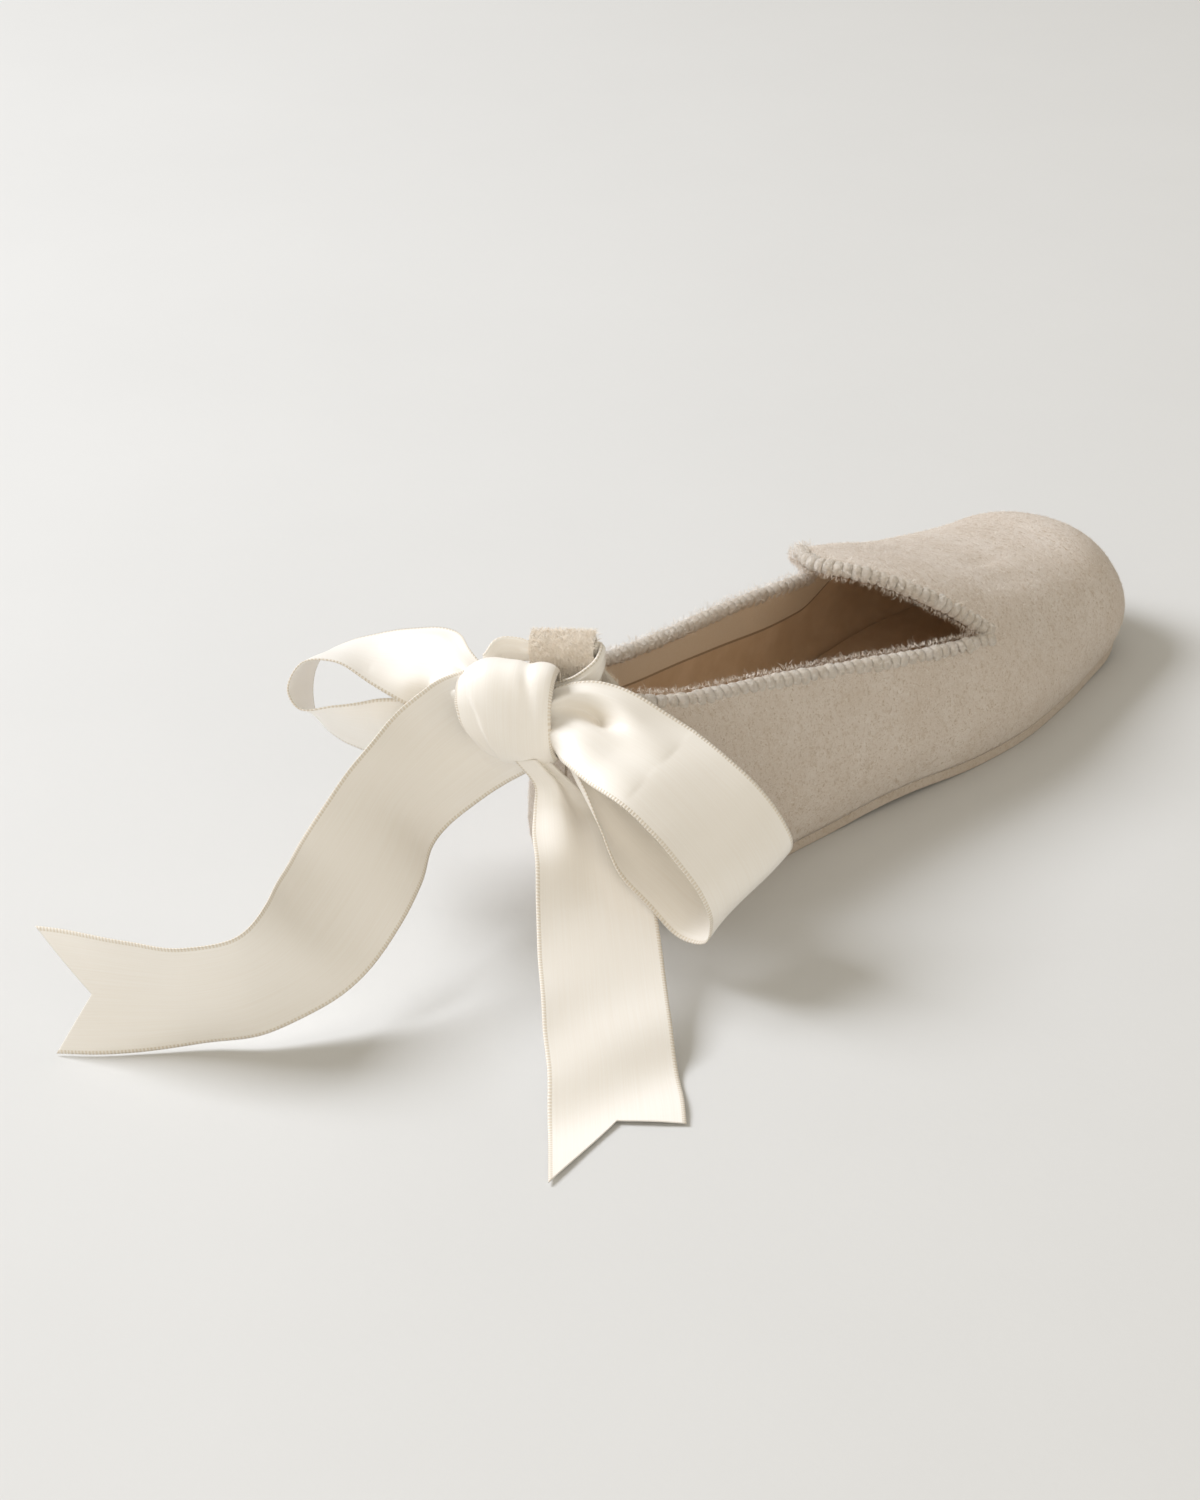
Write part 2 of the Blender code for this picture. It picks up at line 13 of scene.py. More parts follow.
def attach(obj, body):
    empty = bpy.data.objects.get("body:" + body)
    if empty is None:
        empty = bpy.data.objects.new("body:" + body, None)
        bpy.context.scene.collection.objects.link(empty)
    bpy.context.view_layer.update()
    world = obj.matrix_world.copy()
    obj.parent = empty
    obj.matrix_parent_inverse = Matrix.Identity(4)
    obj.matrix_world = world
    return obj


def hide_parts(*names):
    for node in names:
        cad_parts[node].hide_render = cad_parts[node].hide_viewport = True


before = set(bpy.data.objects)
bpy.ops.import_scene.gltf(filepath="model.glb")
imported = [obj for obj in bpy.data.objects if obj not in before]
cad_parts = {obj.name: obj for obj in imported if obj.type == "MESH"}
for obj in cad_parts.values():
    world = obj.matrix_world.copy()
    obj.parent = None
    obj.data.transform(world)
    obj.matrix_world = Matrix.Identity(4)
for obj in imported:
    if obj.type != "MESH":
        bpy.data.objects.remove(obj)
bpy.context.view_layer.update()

# Camera. It looks down on the shoe from behind its outer side, with a long lens and a
# slight roll.
VIEW_SIDE = np.radians(41.87)
VIEW_HEIGHT = np.radians(27.71)
VIEW_ROLL = -0.030
VIEW_DISTANCE = 1.295
VIEW_TARGET = np.array([-0.0581, -0.0408, 0.0])
VIEW_LENS = 100.8
VIEW_SENSOR = 36.0


def add_object(name, data):
    """A new object at the origin, in the scene, that carries a mesh, lamp or camera."""
    made = bpy.data.objects.new(name, data)
    bpy.context.scene.collection.objects.link(made)
    return made


right = np.array([np.cos(VIEW_SIDE), np.sin(VIEW_SIDE), 0.0])
backward = np.array([
    np.sin(VIEW_SIDE) * np.cos(VIEW_HEIGHT),
    -np.cos(VIEW_SIDE) * np.cos(VIEW_HEIGHT),
    np.sin(VIEW_HEIGHT),
])
upward = np.cross(backward, right)
camera = add_object("camera", bpy.data.cameras.new("camera"))
camera.data.sensor_fit = "VERTICAL"
camera.data.sensor_height = VIEW_SENSOR
camera.data.lens = VIEW_LENS
camera.data.clip_start = 0.01
turned_right = np.cos(VIEW_ROLL) * right + np.sin(VIEW_ROLL) * upward
turned_up = np.cos(VIEW_ROLL) * upward - np.sin(VIEW_ROLL) * right
place = VIEW_TARGET + backward * VIEW_DISTANCE
camera.matrix_world = Matrix([
    [turned_right[k], turned_up[k], backward[k], place[k]] for k in range(3)
] + [[0, 0, 0, 1]])
bpy.context.scene.camera = camera

# Floor and light. A pale matt table top under a large window to the left, with a low white
# screen at the camera's side that throws light back, and a dim warm room around.
FLOOR_SIZE = 6.0
FLOOR_COLOUR = (0.68, 0.68, 0.67)
FLOOR_TONES = ((0.665, 0.665, 0.655), (0.705, 0.705, 0.695))
WINDOW_PLACE = (-1.45, -0.75, 1.60)
WINDOW_SIZE = 1.1
WINDOW_POWER = 47.0
WINDOW_COLOUR = (0.97, 1.0, 1.07)
SCREEN_PLACE = (1.2, -1.1, 0.6)
SCREEN_SIZE = 1.4
SCREEN_POWER = 5.5
SCREEN_COLOUR = (1.0, 0.94, 0.84)
ROOM_COLOUR = (1.0, 0.93, 0.80)
ROOM_STRENGTH = 0.49


def new_material(name, colour, roughness):
    """A plain Principled material, and its tree and shader."""
    material = bpy.data.materials.new(name)
    material.use_nodes = True
    shader = material.node_tree.nodes["Principled BSDF"]
    shader.inputs["Base Color"].default_value = (*colour, 1.0)
    shader.inputs["Roughness"].default_value = roughness
    return material, material.node_tree, shader


def add_node(tree, kind, settings, **inputs):
    """One node with its settings. An input is a number or another node's output. It is named
    by its place, as i0 or i1, or by its name with underscores for spaces."""
    node = tree.nodes.new("ShaderNode" + kind)
    for key, value in settings.items():
        setattr(node, key, value)
    for key, value in inputs.items():
        socket = node.inputs[int(key[1:])] if key[0] == "i" and key[1:].isdigit() \
            else node.inputs[key.replace("_", " ")]
        if isinstance(value, bpy.types.NodeSocket):
            tree.links.new(value, socket)
        else:
            socket.default_value = value
    return node


def between(tree, share, low, high):
    """The share's way from low to high, as 0 to 1 with soft ends."""
    node = add_node(tree, "MapRange", {"interpolation_type": "SMOOTHSTEP"}, Value=share)
    node.inputs["From Min"].default_value = low
    node.inputs["From Max"].default_value = high
    return node.outputs["Result"]


def blend_colours(tree, share, first, second):
    """Mix of two colours, each a triple or another node's output."""
    node = add_node(tree, "Mix", {"data_type": "RGBA"})
    for socket, value in ((node.inputs[0], share), (node.inputs[6], first), (node.inputs[7], second)):
        if isinstance(value, bpy.types.NodeSocket):
            tree.links.new(value, socket)
        else:
            socket.default_value = (*value, 1.0) if isinstance(value, tuple) else value
    return node.outputs[2]


def noise(tree, place, scale, detail, rough, distort=0.0):
    """Cloudy pattern from 0 to 1, with about scale spots to the metre."""
    return add_node(tree, "TexNoise", {}, Vector=place, Scale=scale, Detail=detail,
                    Roughness=rough, Distortion=distort).outputs["Fac"]


def bump(tree, shader, height, distance, strength):
    """Relief for the shader: the height from 0 to 1 stands for the distance in metres."""
    node = add_node(tree, "Bump", {}, Height=height, Distance=distance, Strength=strength)
    tree.links.new(node.outputs["Normal"], shader.inputs["Normal"])


floor_stone, tree, shader = new_material("pale_table_top", FLOOR_COLOUR, 0.75)
spot = add_node(tree, "TexCoord", {}).outputs["Object"]
cloud = noise(tree, spot, 7.0, 4.0, 0.6)
tree.links.new(blend_colours(tree, cloud, *FLOOR_TONES), shader.inputs["Base Color"])
bump(tree, shader, noise(tree, spot, 260.0, 5.0, 0.6), 0.0002, 0.25)
floor_mesh = bpy.data.meshes.new("floor")
half = FLOOR_SIZE / 2
floor_mesh.from_pydata([(-half, -half, 0), (half, -half, 0), (half, half, 0), (-half, half, 0)],
                       [], [(0, 1, 2, 3)])
floor_mesh.materials.append(floor_stone)
floor = add_object("floor", floor_mesh)


def soft_panel(name, place, size, power, colour):
    """A square lamp that faces the shoe."""
    lamp = add_object(name, bpy.data.lights.new(name, "AREA"))
    lamp.data.shape = "SQUARE"
    lamp.data.size = size
    lamp.data.energy = power
    lamp.data.color = colour
    out = np.array(place) / np.linalg.norm(place)
    aside = np.cross((0, 0, 1), out)
    aside /= np.linalg.norm(aside)
    up = np.cross(out, aside)
    lamp.matrix_world = Matrix([[aside[k], up[k], out[k], place[k]] for k in range(3)] + [[0, 0, 0, 1]])


soft_panel("window", WINDOW_PLACE, WINDOW_SIZE, WINDOW_POWER, WINDOW_COLOUR)
soft_panel("white_screen", SCREEN_PLACE, SCREEN_SIZE, SCREEN_POWER, SCREEN_COLOUR)
world = bpy.data.worlds.new("room")
bpy.context.scene.world = world
world.use_nodes = True
world.node_tree.nodes["Background"].inputs["Color"].default_value = (*ROOM_COLOUR, 1.0)
world.node_tree.nodes["Background"].inputs["Strength"].default_value = ROOM_STRENGTH
bpy.context.scene.view_settings.view_transform = "Standard"

# Upper. One wall of 3 mm cream wool felt with a tan brushed inside, moulded on a last and
# closed by a seam at the centre back. It is open at the collar and underneath. A strip of
# lighter facing runs inside along the open edges, down to a seam.
LENGTH = 0.250
BALL_WIDTH = 0.091
INSTEP_HEIGHT = 0.0685
INSTEP_FROM_HEEL = 0.46
HEEL_ROUND = 0.031
TOE_ROUND = 0.033
ROUND_POWER = 2.25
SIDE_POWER = 2.75
CROWN_POWER = 2.15
HEEL_UPRIGHT = 0.25
HEEL_HEIGHT = 0.0690
NOTCH_HEIGHT = 0.0395
LATERAL_DIP = 0.0008
MEDIAL_DIP = 0.0025
NOTCH_FROM_HEEL = 0.1535
TONGUE_REACH = 0.0390
TONGUE_POWER = 1.8
WALL = 0.0030
TUCK = 0.0040
TUCK_HEIGHT = 0.0160
SOLE_THICKNESS = 0.0035
GAP = 0.0003
ARCH_RISE = 0.0015
ARCH_FROM = 0.30
ARCH_TO = 0.58
TOE_SPRING = 0.0050
SPRING_FROM = 0.78
SPRING_FADE = 0.0350
SEAM_HALF_WIDTH = 0.0005
SEAM_BEHIND = -0.10
FACING_DEPTH = 0.0140
DENTS_FROM = 0.0060
DENTS_FADE = 0.0100
LATERAL = 1.0
MEDIAL = -1.0
QUARTER_COLUMNS = 130
VAMP_COLUMNS = 110
WALL_ROWS = 44
TONGUE_ROWS = 40
HEEL_END = -LENGTH / 2
TOE_END = LENGTH / 2
HEEL_CENTRE = HEEL_END + HEEL_ROUND
TOE_CENTRE = TOE_END - TOE_ROUND
NOTCH = HEEL_END + NOTCH_FROM_HEEL
UPPER_BASE = SOLE_THICKNESS + GAP
FELT_TONES = ((0.78, 0.68, 0.585), (0.85, 0.765, 0.685))
FELT_MATTED = (0.68, 0.565, 0.455)
FELT_STRANDS = (0.58, 0.46, 0.345)
FELT_FIBRES = (0.90, 0.84, 0.77)
FELT_SEAM = (0.40, 0.31, 0.23)
FACING_TONES = ((0.80, 0.68, 0.53), (0.88, 0.78, 0.65))
LINING_TONES = ((0.66, 0.48, 0.305), (0.76, 0.58, 0.40))
LINING_SEAM = (0.38, 0.27, 0.17)

# The last's own frame moves by this much, so that the shoe stands centred on the origin
ONTO_ORIGIN = np.array([-0.0011116, 0.0050424, 0.0])

# Sections: place from the heel as a share of the length, outer and inner half widths as
# shares of the ball's width, and the top as a share of the height there
SECTIONS = np.array((
    (0.00, 0.350, 0.341, 1.152),
    (0.12, 0.363, 0.328, 1.054),
    (0.24, 0.381, 0.355, 0.997),
    (0.36, 0.413, 0.400, 0.979),
    (0.46, 0.455, 0.424, 0.99),
    (0.56, 0.495, 0.444, 0.895),
    (0.66, 0.508, 0.478, 0.765),
    (0.76, 0.471, 0.484, 0.665),
    (0.88, 0.406, 0.434, 0.600),
    (1.00, 0.385, 0.411, 0.595),
))

# Soft dents of the vamp and sides: middle and half width along X and Y, and depth, in mm
DENTS = (
    (12.0, 62.0, 3.5, 11.0, 0.8),
    (23.0, 60.0, 3.0, 9.0, 0.5),
    (-14.0, 74.0, 9.0, 6.0, 0.4),
    (39.0, 12.0, 9.0, 16.0, 0.6),
    (-40.0, 8.0, 9.0, 16.0, 0.6),
    (36.0, -60.0, 9.0, 22.0, 0.5),
)


def smooth_through(x, stations, values):
    """Cubic pieces through the values, with the slope of the chord at each station."""
    slope = np.gradient(values, stations)
    x = np.clip(x, stations[0], stations[-1])
    i = np.clip(np.searchsorted(stations, x) - 1, 0, len(stations) - 2)
    step = stations[i + 1] - stations[i]
    t = (x - stations[i]) / step
    start = values[i] * (1 + 2 * t) * (1 - t) ** 2 + slope[i] * step * t * (1 - t) ** 2
    end = values[i + 1] * t ** 2 * (3 - 2 * t) - slope[i + 1] * step * t ** 2 * (1 - t)
    return start + end


def table(column, y):
    """A column of SECTIONS, at the share of the length that y has reached."""
    return smooth_through((y - HEEL_END) / LENGTH, SECTIONS[:, 0], SECTIONS[:, column])


def spine(y):
    """The nearest y on the last's middle line, which stops short of both rounded ends."""
    return np.clip(y, HEEL_CENTRE, TOE_CENTRE)


def plan_point(side, y, across, along, inset):
    """Plan place at shares across and along from the spine, drawn in by the inset. Both
    ends are rounded by (1 - t^n)^(1/n)."""
    middle = spine(y)
    width = BALL_WIDTH * table(1 if side > 0 else 2, y)
    heel = np.clip((HEEL_CENTRE - y) / HEEL_ROUND, 0, 1)
    toe = np.clip((y - TOE_CENTRE) / TOE_ROUND, 0, 1)
    rounding = ((1 - heel ** ROUND_POWER) * (1 - toe ** ROUND_POWER)) ** (1 / ROUND_POWER)
    end_round = np.where(y < 0, HEEL_ROUND, TOE_ROUND)
    x = side * width * rounding * np.maximum(across - inset / width, 0)
    return x, middle + (y - middle) * np.maximum(along - inset / end_round, 0)


def last_height(y):
    """The last's top, its shares taken of a line from the heel's to the instep's height."""
    to_instep = np.clip((y - HEEL_END) / (INSTEP_FROM_HEEL * LENGTH), 0, 1)
    height = HEEL_HEIGHT + (INSTEP_HEIGHT - HEEL_HEIGHT) * to_instep
    return height * table(3, spine(y))


def lift(y):
    """The underside's height off the floor: a wave at the arch, a square curve at the toe."""
    along = (y - HEEL_END) / LENGTH
    arch = np.clip((along - ARCH_FROM) / (ARCH_TO - ARCH_FROM), 0, 1)
    spring = np.clip((along - SPRING_FROM) / (1 - SPRING_FROM), 0, 1)
    return ARCH_RISE * np.sin(np.pi * arch) ** 2 + TOE_SPRING * spring ** 2


def on_last(side, y, turn):
    """Points of the last: superellipse sections, turn going from 0 at the sole to a
    quarter turn at the middle of the top, with the lower edge tucked in."""
    y, turn = np.broadcast_arrays(np.asarray(y, float), np.asarray(turn, float))
    reach = np.abs(np.cos(turn)) ** (2 / SIDE_POWER)
    reach = np.where(turn > np.pi / 2 - 1e-9, 0.0, reach)
    height = (last_height(y) - UPPER_BASE) * np.sin(turn) ** (2 / CROWN_POWER)
    tuck = TUCK * np.clip(1 - height / TUCK_HEIGHT, 0, 1) ** 2
    along = np.where(y < 0, reach ** HEEL_UPRIGHT, reach)
    x, y_out = plan_point(side, y, reach, along, tuck)
    fade = np.clip(1 - height / SPRING_FADE, 0, 1) ** 1.5
    z = UPPER_BASE + height + lift(y) * fade
    return np.stack([x, y_out, z], axis=-1) + ONTO_ORIGIN


def turn_at_height(y, z):
    """The turn at which the last's side reaches a height: the superellipse solved back."""
    share = np.clip((z - UPPER_BASE) / (last_height(y) - UPPER_BASE), 0, 1)
    return np.arcsin(share ** (CROWN_POWER / 2))


def collar_height(side, y):
    """The collar's height: a straight fall from heel to notch, less a parabola's dip."""
    t = np.clip((y - HEEL_END) / (NOTCH - HEEL_END), 0, 1)
    dip = LATERAL_DIP if side > 0 else MEDIAL_DIP
    return HEEL_HEIGHT + (NOTCH_HEIGHT - HEEL_HEIGHT) * t - 4 * dip * t * (1 - t)


def quarter_grid(side, columns, rows):
    """The side from the centre back to the notch, from the sole to the collar."""
    y = HEEL_END + (NOTCH - HEEL_END) * (1 - np.cos(np.linspace(0, np.pi / 2, columns + 1)))
    top = turn_at_height(y, collar_height(side, y))
    return on_last(side, y[:, None], top[:, None] * np.linspace(0, 1, rows + 1)[None, :])


BELT = float(turn_at_height(np.array(NOTCH), NOTCH_HEIGHT))


def vamp_point(side, a, turn):
    """The front. a goes from the notch to the middle of the toe. Above the notch the
    columns slide back to the tongue's edge, a power curve of the way in."""
    remain = np.clip(np.cos(turn) / np.cos(BELT), 0, 1) ** (2 / SIDE_POWER)
    slide = np.where(turn > BELT, TONGUE_REACH * (1 - remain ** TONGUE_POWER), 0.0)
    y = NOTCH + (TOE_END - NOTCH) * np.sin(a * np.pi / 2) - slide * (1 - a) ** 1.5
    return on_last(side, y, turn)


def vamp_grid(side, columns, rows_below, rows_above):
    """The front from the notch to the toe, with even steps of turn below the notch's height
    and even steps of width above it."""
    a = np.linspace(0, 1, columns + 1)[:, None]
    remain = np.linspace(1, 0, rows_above + 1)[1:]
    above = np.arccos(np.cos(BELT) * remain ** (SIDE_POWER / 2))
    turn = np.concatenate([BELT * np.linspace(0, 1, rows_below + 1), above])[None, :]
    return vamp_point(side, a, turn)


def join_grids(name, grids, flips, materials, values=None):
    """One mesh of several grids of points, a quad between each four neighbours, with
    points that meet merged. Values are named numbers for each point."""
    verts, quads, start = [], [], 0
    for points, flip in zip(grids, flips):
        columns, rows = points.shape[:2]
        at = start + np.arange(columns * rows).reshape(columns, rows)
        ring = np.stack([at[:-1, :-1], at[1:, :-1], at[1:, 1:], at[:-1, 1:]], axis=-1).reshape(-1, 4)
        quads.append(ring[:, ::-1] if flip else ring)
        verts.append(points.reshape(-1, 3))
        start += columns * rows
    mesh = bpy.data.meshes.new(name)
    mesh.from_pydata(np.concatenate(verts).tolist(), [], np.concatenate(quads).tolist())
    for key, numbers in (values or {}).items():
        layer = mesh.attributes.new(key, "FLOAT", "POINT")
        layer.data.foreach_set("value", np.concatenate([n.ravel() for n in numbers]).astype(np.float32))
    work = bmesh.new()
    work.from_mesh(mesh)
    bmesh.ops.remove_doubles(work, verts=work.verts, dist=0.00001)
    work.to_mesh(mesh)
    work.free()
    for material in materials:
        mesh.materials.append(material)
    mesh.shade_smooth()
    return add_object(name, mesh)


def grid_normals(points, outward):
    """Unit normals of a grid, on the side that points away from the shoe's middle."""
    normal = np.cross(np.gradient(points, axis=0), np.gradient(points, axis=1))
    normal /= np.maximum(np.linalg.norm(normal, axis=-1), 1e-12)[..., None]
    return normal * outward


def felt_unevenness(points):
    """Soft hand-made unevenness, a few tenths of a millimetre: crossed slow waves, and
    the dents as bell curves."""
    x, y, z = points[..., 0] * 1000, points[..., 1] * 1000, points[..., 2] * 1000
    waves = np.sin(x / 7 + y / 17) * np.sin(y / 11 - z / 9 + 1.3) + 0.6 * np.sin(y / 6 + z / 5)
    moved = 0.00012 * waves
    for at_x, at_y, wide_x, wide_y, deep in DENTS:
        bell = np.exp(-((x - at_x) / wide_x) ** 2 - ((y - at_y) / wide_y) ** 2)
        moved = moved - deep / 1000 * bell
    return moved


def unit(vectors):
    """Each vector over its own length."""
    return vectors / np.linalg.norm(vectors, axis=-1)[..., None]


def distances(points):
    """How far along the line each point lies: the sum of the chords before it."""
    return np.concatenate([[0], np.cumsum(np.linalg.norm(np.diff(points, axis=0), axis=1))])


def edge_frames(edge, inside, pitch):
    """Stations along an open edge at an even pitch: place, along, outward and the way off
    the edge, each a unit vector but the first."""
    s = distances(edge)
    count = int(s[-1] / pitch)
    at = (np.arange(count) + 0.5) * s[-1] / count

    def at_stations(points):
        """The points' straight-line values at the stations."""
        return np.stack([np.interp(at, s, points[:, k]) for k in range(3)], axis=-1)

    place = at_stations(edge)
    along = unit(at_stations(np.gradient(edge, axis=0)))
    off = place - at_stations(inside)
    off = unit(off - along * (off * along).sum(axis=1)[:, None])
    outward = np.cross(along, off)
    middle = place * (0, 1, 0) + (0, 0, 0.020)
    outward *= np.sign(((place - middle) * outward).sum(axis=1))[:, None]
    return place, along, outward, off


def collar_edge(side):
    """The collar from the centre back to the notch, and a line just below it."""
    y = HEEL_END + (NOTCH - HEEL_END) * (1 - np.cos(np.linspace(0, np.pi / 2, 200)))
    top = turn_at_height(y, collar_height(side, y))
    return on_last(side, y, top), on_last(side, y, top - 0.03)


def tongue_edge(side):
    """The vamp's open edge from the notch up to the middle, and a line just before it."""
    remain = np.linspace(1, 0, 160)
    turn = np.arccos(np.cos(BELT) * remain ** (SIDE_POWER / 2))
    return vamp_point(side, np.zeros(160), turn), vamp_point(side, np.full(160, 0.02), turn)


def soft_finish(shader, gloss, sheen, sheen_roughness):
    """A fabric's faint gloss, and the glow of the fibres along its outline."""
    shader.inputs["Specular IOR Level"].default_value = gloss
    shader.inputs["Sheen Weight"].default_value = sheen
    shader.inputs["Sheen Roughness"].default_value = sheen_roughness


# Felt: cloudy tones, darker matted spots and combed strands, and pale fibres on top
felt, tree, shader = new_material("cream_wool_felt", (0.62, 0.54, 0.46), 0.95)
spot = add_node(tree, "TexCoord", {}).outputs["Object"]
cloudy = noise(tree, spot, 45.0, 5.0, 0.62)
matted = noise(tree, spot, 300.0, 8.0, 0.72, 0.8)
fibres = noise(tree, spot, 1000.0, 6.0, 0.75, 2.5)
combed = add_node(tree, "Mapping", {}, Vector=spot)
combed.inputs["Rotation"].default_value = (0.5, 0.3, 0.6)
combed.inputs["Scale"].default_value = (420.0, 1250.0, 1250.0)
strands = noise(tree, combed.outputs["Vector"], 1.0, 7.0, 0.68, 0.9)
ground = blend_colours(tree, between(tree, cloudy, 0.35, 0.68), *FELT_TONES)
ground = blend_colours(tree, between(tree, matted, 0.50, 0.70), ground, FELT_MATTED)
ground = blend_colours(tree, between(tree, strands, 0.51, 0.65), ground, FELT_STRANDS)
ground = blend_colours(tree, between(tree, fibres, 0.54, 0.70), ground, FELT_FIBRES)

# Centre back seam: a thin dark groove where the two halves of the wall meet
apart = add_node(tree, "SeparateXYZ", {}, Vector=spot)
seam = add_node(tree, "Math", {"operation": "COMPARE"}, i0=apart.outputs["X"], i1=float(ONTO_ORIGIN[0]),
                i2=SEAM_HALF_WIDTH).outputs[0]
at_heel = add_node(tree, "Math", {"operation": "LESS_THAN"}, i0=apart.outputs["Y"],
                   i1=SEAM_BEHIND).outputs[0]
seam = add_node(tree, "Math", {"operation": "MULTIPLY"}, i0=seam, i1=at_heel).outputs[0]
ground = blend_colours(tree, seam, ground, FELT_SEAM)
tree.links.new(ground, shader.inputs["Base Color"])
soft_finish(shader, 0.15, 0.35, 0.55)
shader.inputs["Sheen Tint"].default_value = (1.0, 0.96, 0.90, 1.0)
nap = add_node(tree, "Math", {"operation": "MULTIPLY_ADD"}, i0=matted, i1=0.9, i2=fibres).outputs[0]
nap = add_node(tree, "Math", {"operation": "MULTIPLY_ADD"}, i0=strands, i1=-1.1, i2=nap).outputs[0]
nap = add_node(tree, "Math", {"operation": "MULTIPLY_ADD"}, i0=seam, i1=-1.5, i2=nap).outputs[0]
bump(tree, shader, nap, 0.0007, 0.7)

# Lining: the tan brushed face, with the lighter facing and its seam below the open edges
lining, tree, shader = new_material("tan_brushed_lining", (0.34, 0.24, 0.155), 0.95)
spot = add_node(tree, "TexCoord", {}).outputs["Object"]
below = add_node(tree, "Attribute", {"attribute_name": "below_edge"}).outputs["Fac"]
cloudy = noise(tree, spot, 55.0, 5.0, 0.6)
fibres = noise(tree, spot, 1300.0, 6.0, 0.75, 2.0)
facing = blend_colours(tree, between(tree, fibres, 0.45, 0.7), *FACING_TONES)
brushed = blend_colours(tree, between(tree, cloudy, 0.35, 0.7), *LINING_TONES)
past_facing = between(tree, below, FACING_DEPTH - 0.0010, FACING_DEPTH + 0.0002)
inside = blend_colours(tree, past_facing, facing, brushed)
near_seam = add_node(tree, "Math", {"operation": "COMPARE"}, i0=below, i1=FACING_DEPTH,
                     i2=0.00045).outputs[0]
inside = blend_colours(tree, near_seam, inside, LINING_SEAM)
tree.links.new(inside, shader.inputs["Base Color"])
soft_finish(shader, 0.12, 0.2, 0.6)
seam_low = add_node(tree, "Math", {"operation": "MULTIPLY_ADD"}, i0=near_seam, i1=-2.0,
                    i2=fibres).outputs[0]
bump(tree, shader, seam_low, 0.0004, 0.7)

# The wall: four grids, each moved along its normals by the unevenness above the sole's edge
patches, turned_in, outsides = [], [], []
for side in (LATERAL, MEDIAL):
    quarter = quarter_grid(side, QUARTER_COLUMNS, WALL_ROWS)
    vamp = vamp_grid(side, VAMP_COLUMNS, WALL_ROWS, TONGUE_ROWS)
    for points in (quarter, vamp):
        normals = grid_normals(points, side)
        above_sole = np.clip((points[..., 2] - DENTS_FROM) / DENTS_FADE, 0, 1)
        patches.append(points + normals * (felt_unevenness(points) * above_sole)[..., None])
        turned_in.append(side < 0)
        outsides.append(normals)

# Each point's distance from the open edges, which the lining reads for its facing
edges = [edge[0] for side in (LATERAL, MEDIAL) for edge in (collar_edge(side), tongue_edge(side))]
rim_points = np.concatenate(edges)[::3]
from_edge = []
for points in patches:
    apart = points.reshape(-1, 1, 3) - rim_points[None, :, :]
    from_edge.append(np.sqrt((apart ** 2).sum(axis=2)).min(axis=1))
upper = join_grids("upper_wall", patches, turned_in, [felt, lining], {"below_edge": from_edge})
wall = upper.modifiers.new("Wall", "SOLIDIFY")
wall.thickness = WALL
wall.offset = -1
wall.use_even_offset = True
wall.use_quality_normals = True
wall.material_offset = 1
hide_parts("upper")
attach(upper, "root")

# Edging. Thick wool yarn is whipped over every open edge of the felt in fat short bars that
# touch and leave shallow slots between them. It stops where the heel strap is folded over.
EDGING_PITCH = 0.0035
EDGING_HALF_WIDTH = 0.0019
EDGING_DEPTH = 0.00090
TONGUE_PITCH = 0.0029
STRAP_ROOM = 0.0115
YARN_TONES = ((0.80, 0.71, 0.60), (0.88, 0.81, 0.73))
YARN_STRANDS = (0.95, 0.91, 0.86)

# A bar's way over the edge: out from the wall's middle and off the edge, in mm
BAR_PATH = np.array((
    (0.80, -3.2), (1.20, -2.6), (1.40, -1.9), (1.45, -1.1), (1.38, -0.3), (1.08, 0.30),
    (0.58, 0.62), (0.0, 0.72), (-0.58, 0.62), (-1.08, 0.30), (-1.38, -0.3), (-1.45, -1.1),
    (-1.38, -1.9), (-0.85, -2.7),
)) / 1000


def yarn_bars(place, along, outward, off, half_width, depth, scale, slant):
    """Yarn bars over an edge: each carries BAR_PATH in the plane across the edge, with an
    ellipse around it that closes at both ends."""
    path = (place - outward * WALL / 2)[:, None, :] \
        + outward[:, None, :] * BAR_PATH[None, :, :1] \
        + off[:, None, :] * (BAR_PATH[None, :, 1:] * scale[:, None, None]) \
        + along[:, None, :] * (BAR_PATH[None, :, 1] * slant[:, None])[..., None]
    beside = np.broadcast_to(along[:, None, :], path.shape)
    above = unit(np.cross(unit(np.gradient(path, axis=1)), beside))
    taper = np.sqrt(np.clip(1 - np.abs(np.linspace(-1, 1, len(BAR_PATH))) ** 5, 0.02, 1))
    angle = np.linspace(0, 2 * np.pi, 9)[:-1]
    wide = beside[:, :, None, :] * np.cos(angle)[None, None, :, None] * half_width
    deep = above[:, :, None, :] * np.sin(angle)[None, None, :, None] * depth
    return path[:, :, None, :] + (wide + deep) * (taper[None, :] * scale[:, None])[..., None, None]


def tubes(name, rings, material):
    """Closed tubes from rings of points (tube, ring, point around), with end caps."""
    count, length, around = rings.shape[:3]
    at = np.arange(count * length * around).reshape(count, length, around)
    beside = np.roll(at, -1, axis=2)
    quads = np.stack([at[:, :-1], at[:, 1:], beside[:, 1:], beside[:, :-1]], axis=-1).reshape(-1, 4)
    caps = np.concatenate([at[:, 0], at[:, -1, ::-1]])
    mesh = bpy.data.meshes.new(name)
    mesh.from_pydata(rings.reshape(-1, 3).tolist(), [], quads.tolist() + caps.tolist())
    mesh.materials.append(material)
    work = bmesh.new()
    work.from_mesh(mesh)
    bmesh.ops.recalc_face_normals(work, faces=work.faces)
    work.to_mesh(mesh)
    work.free()
    mesh.shade_smooth()
    return add_object(name, mesh)


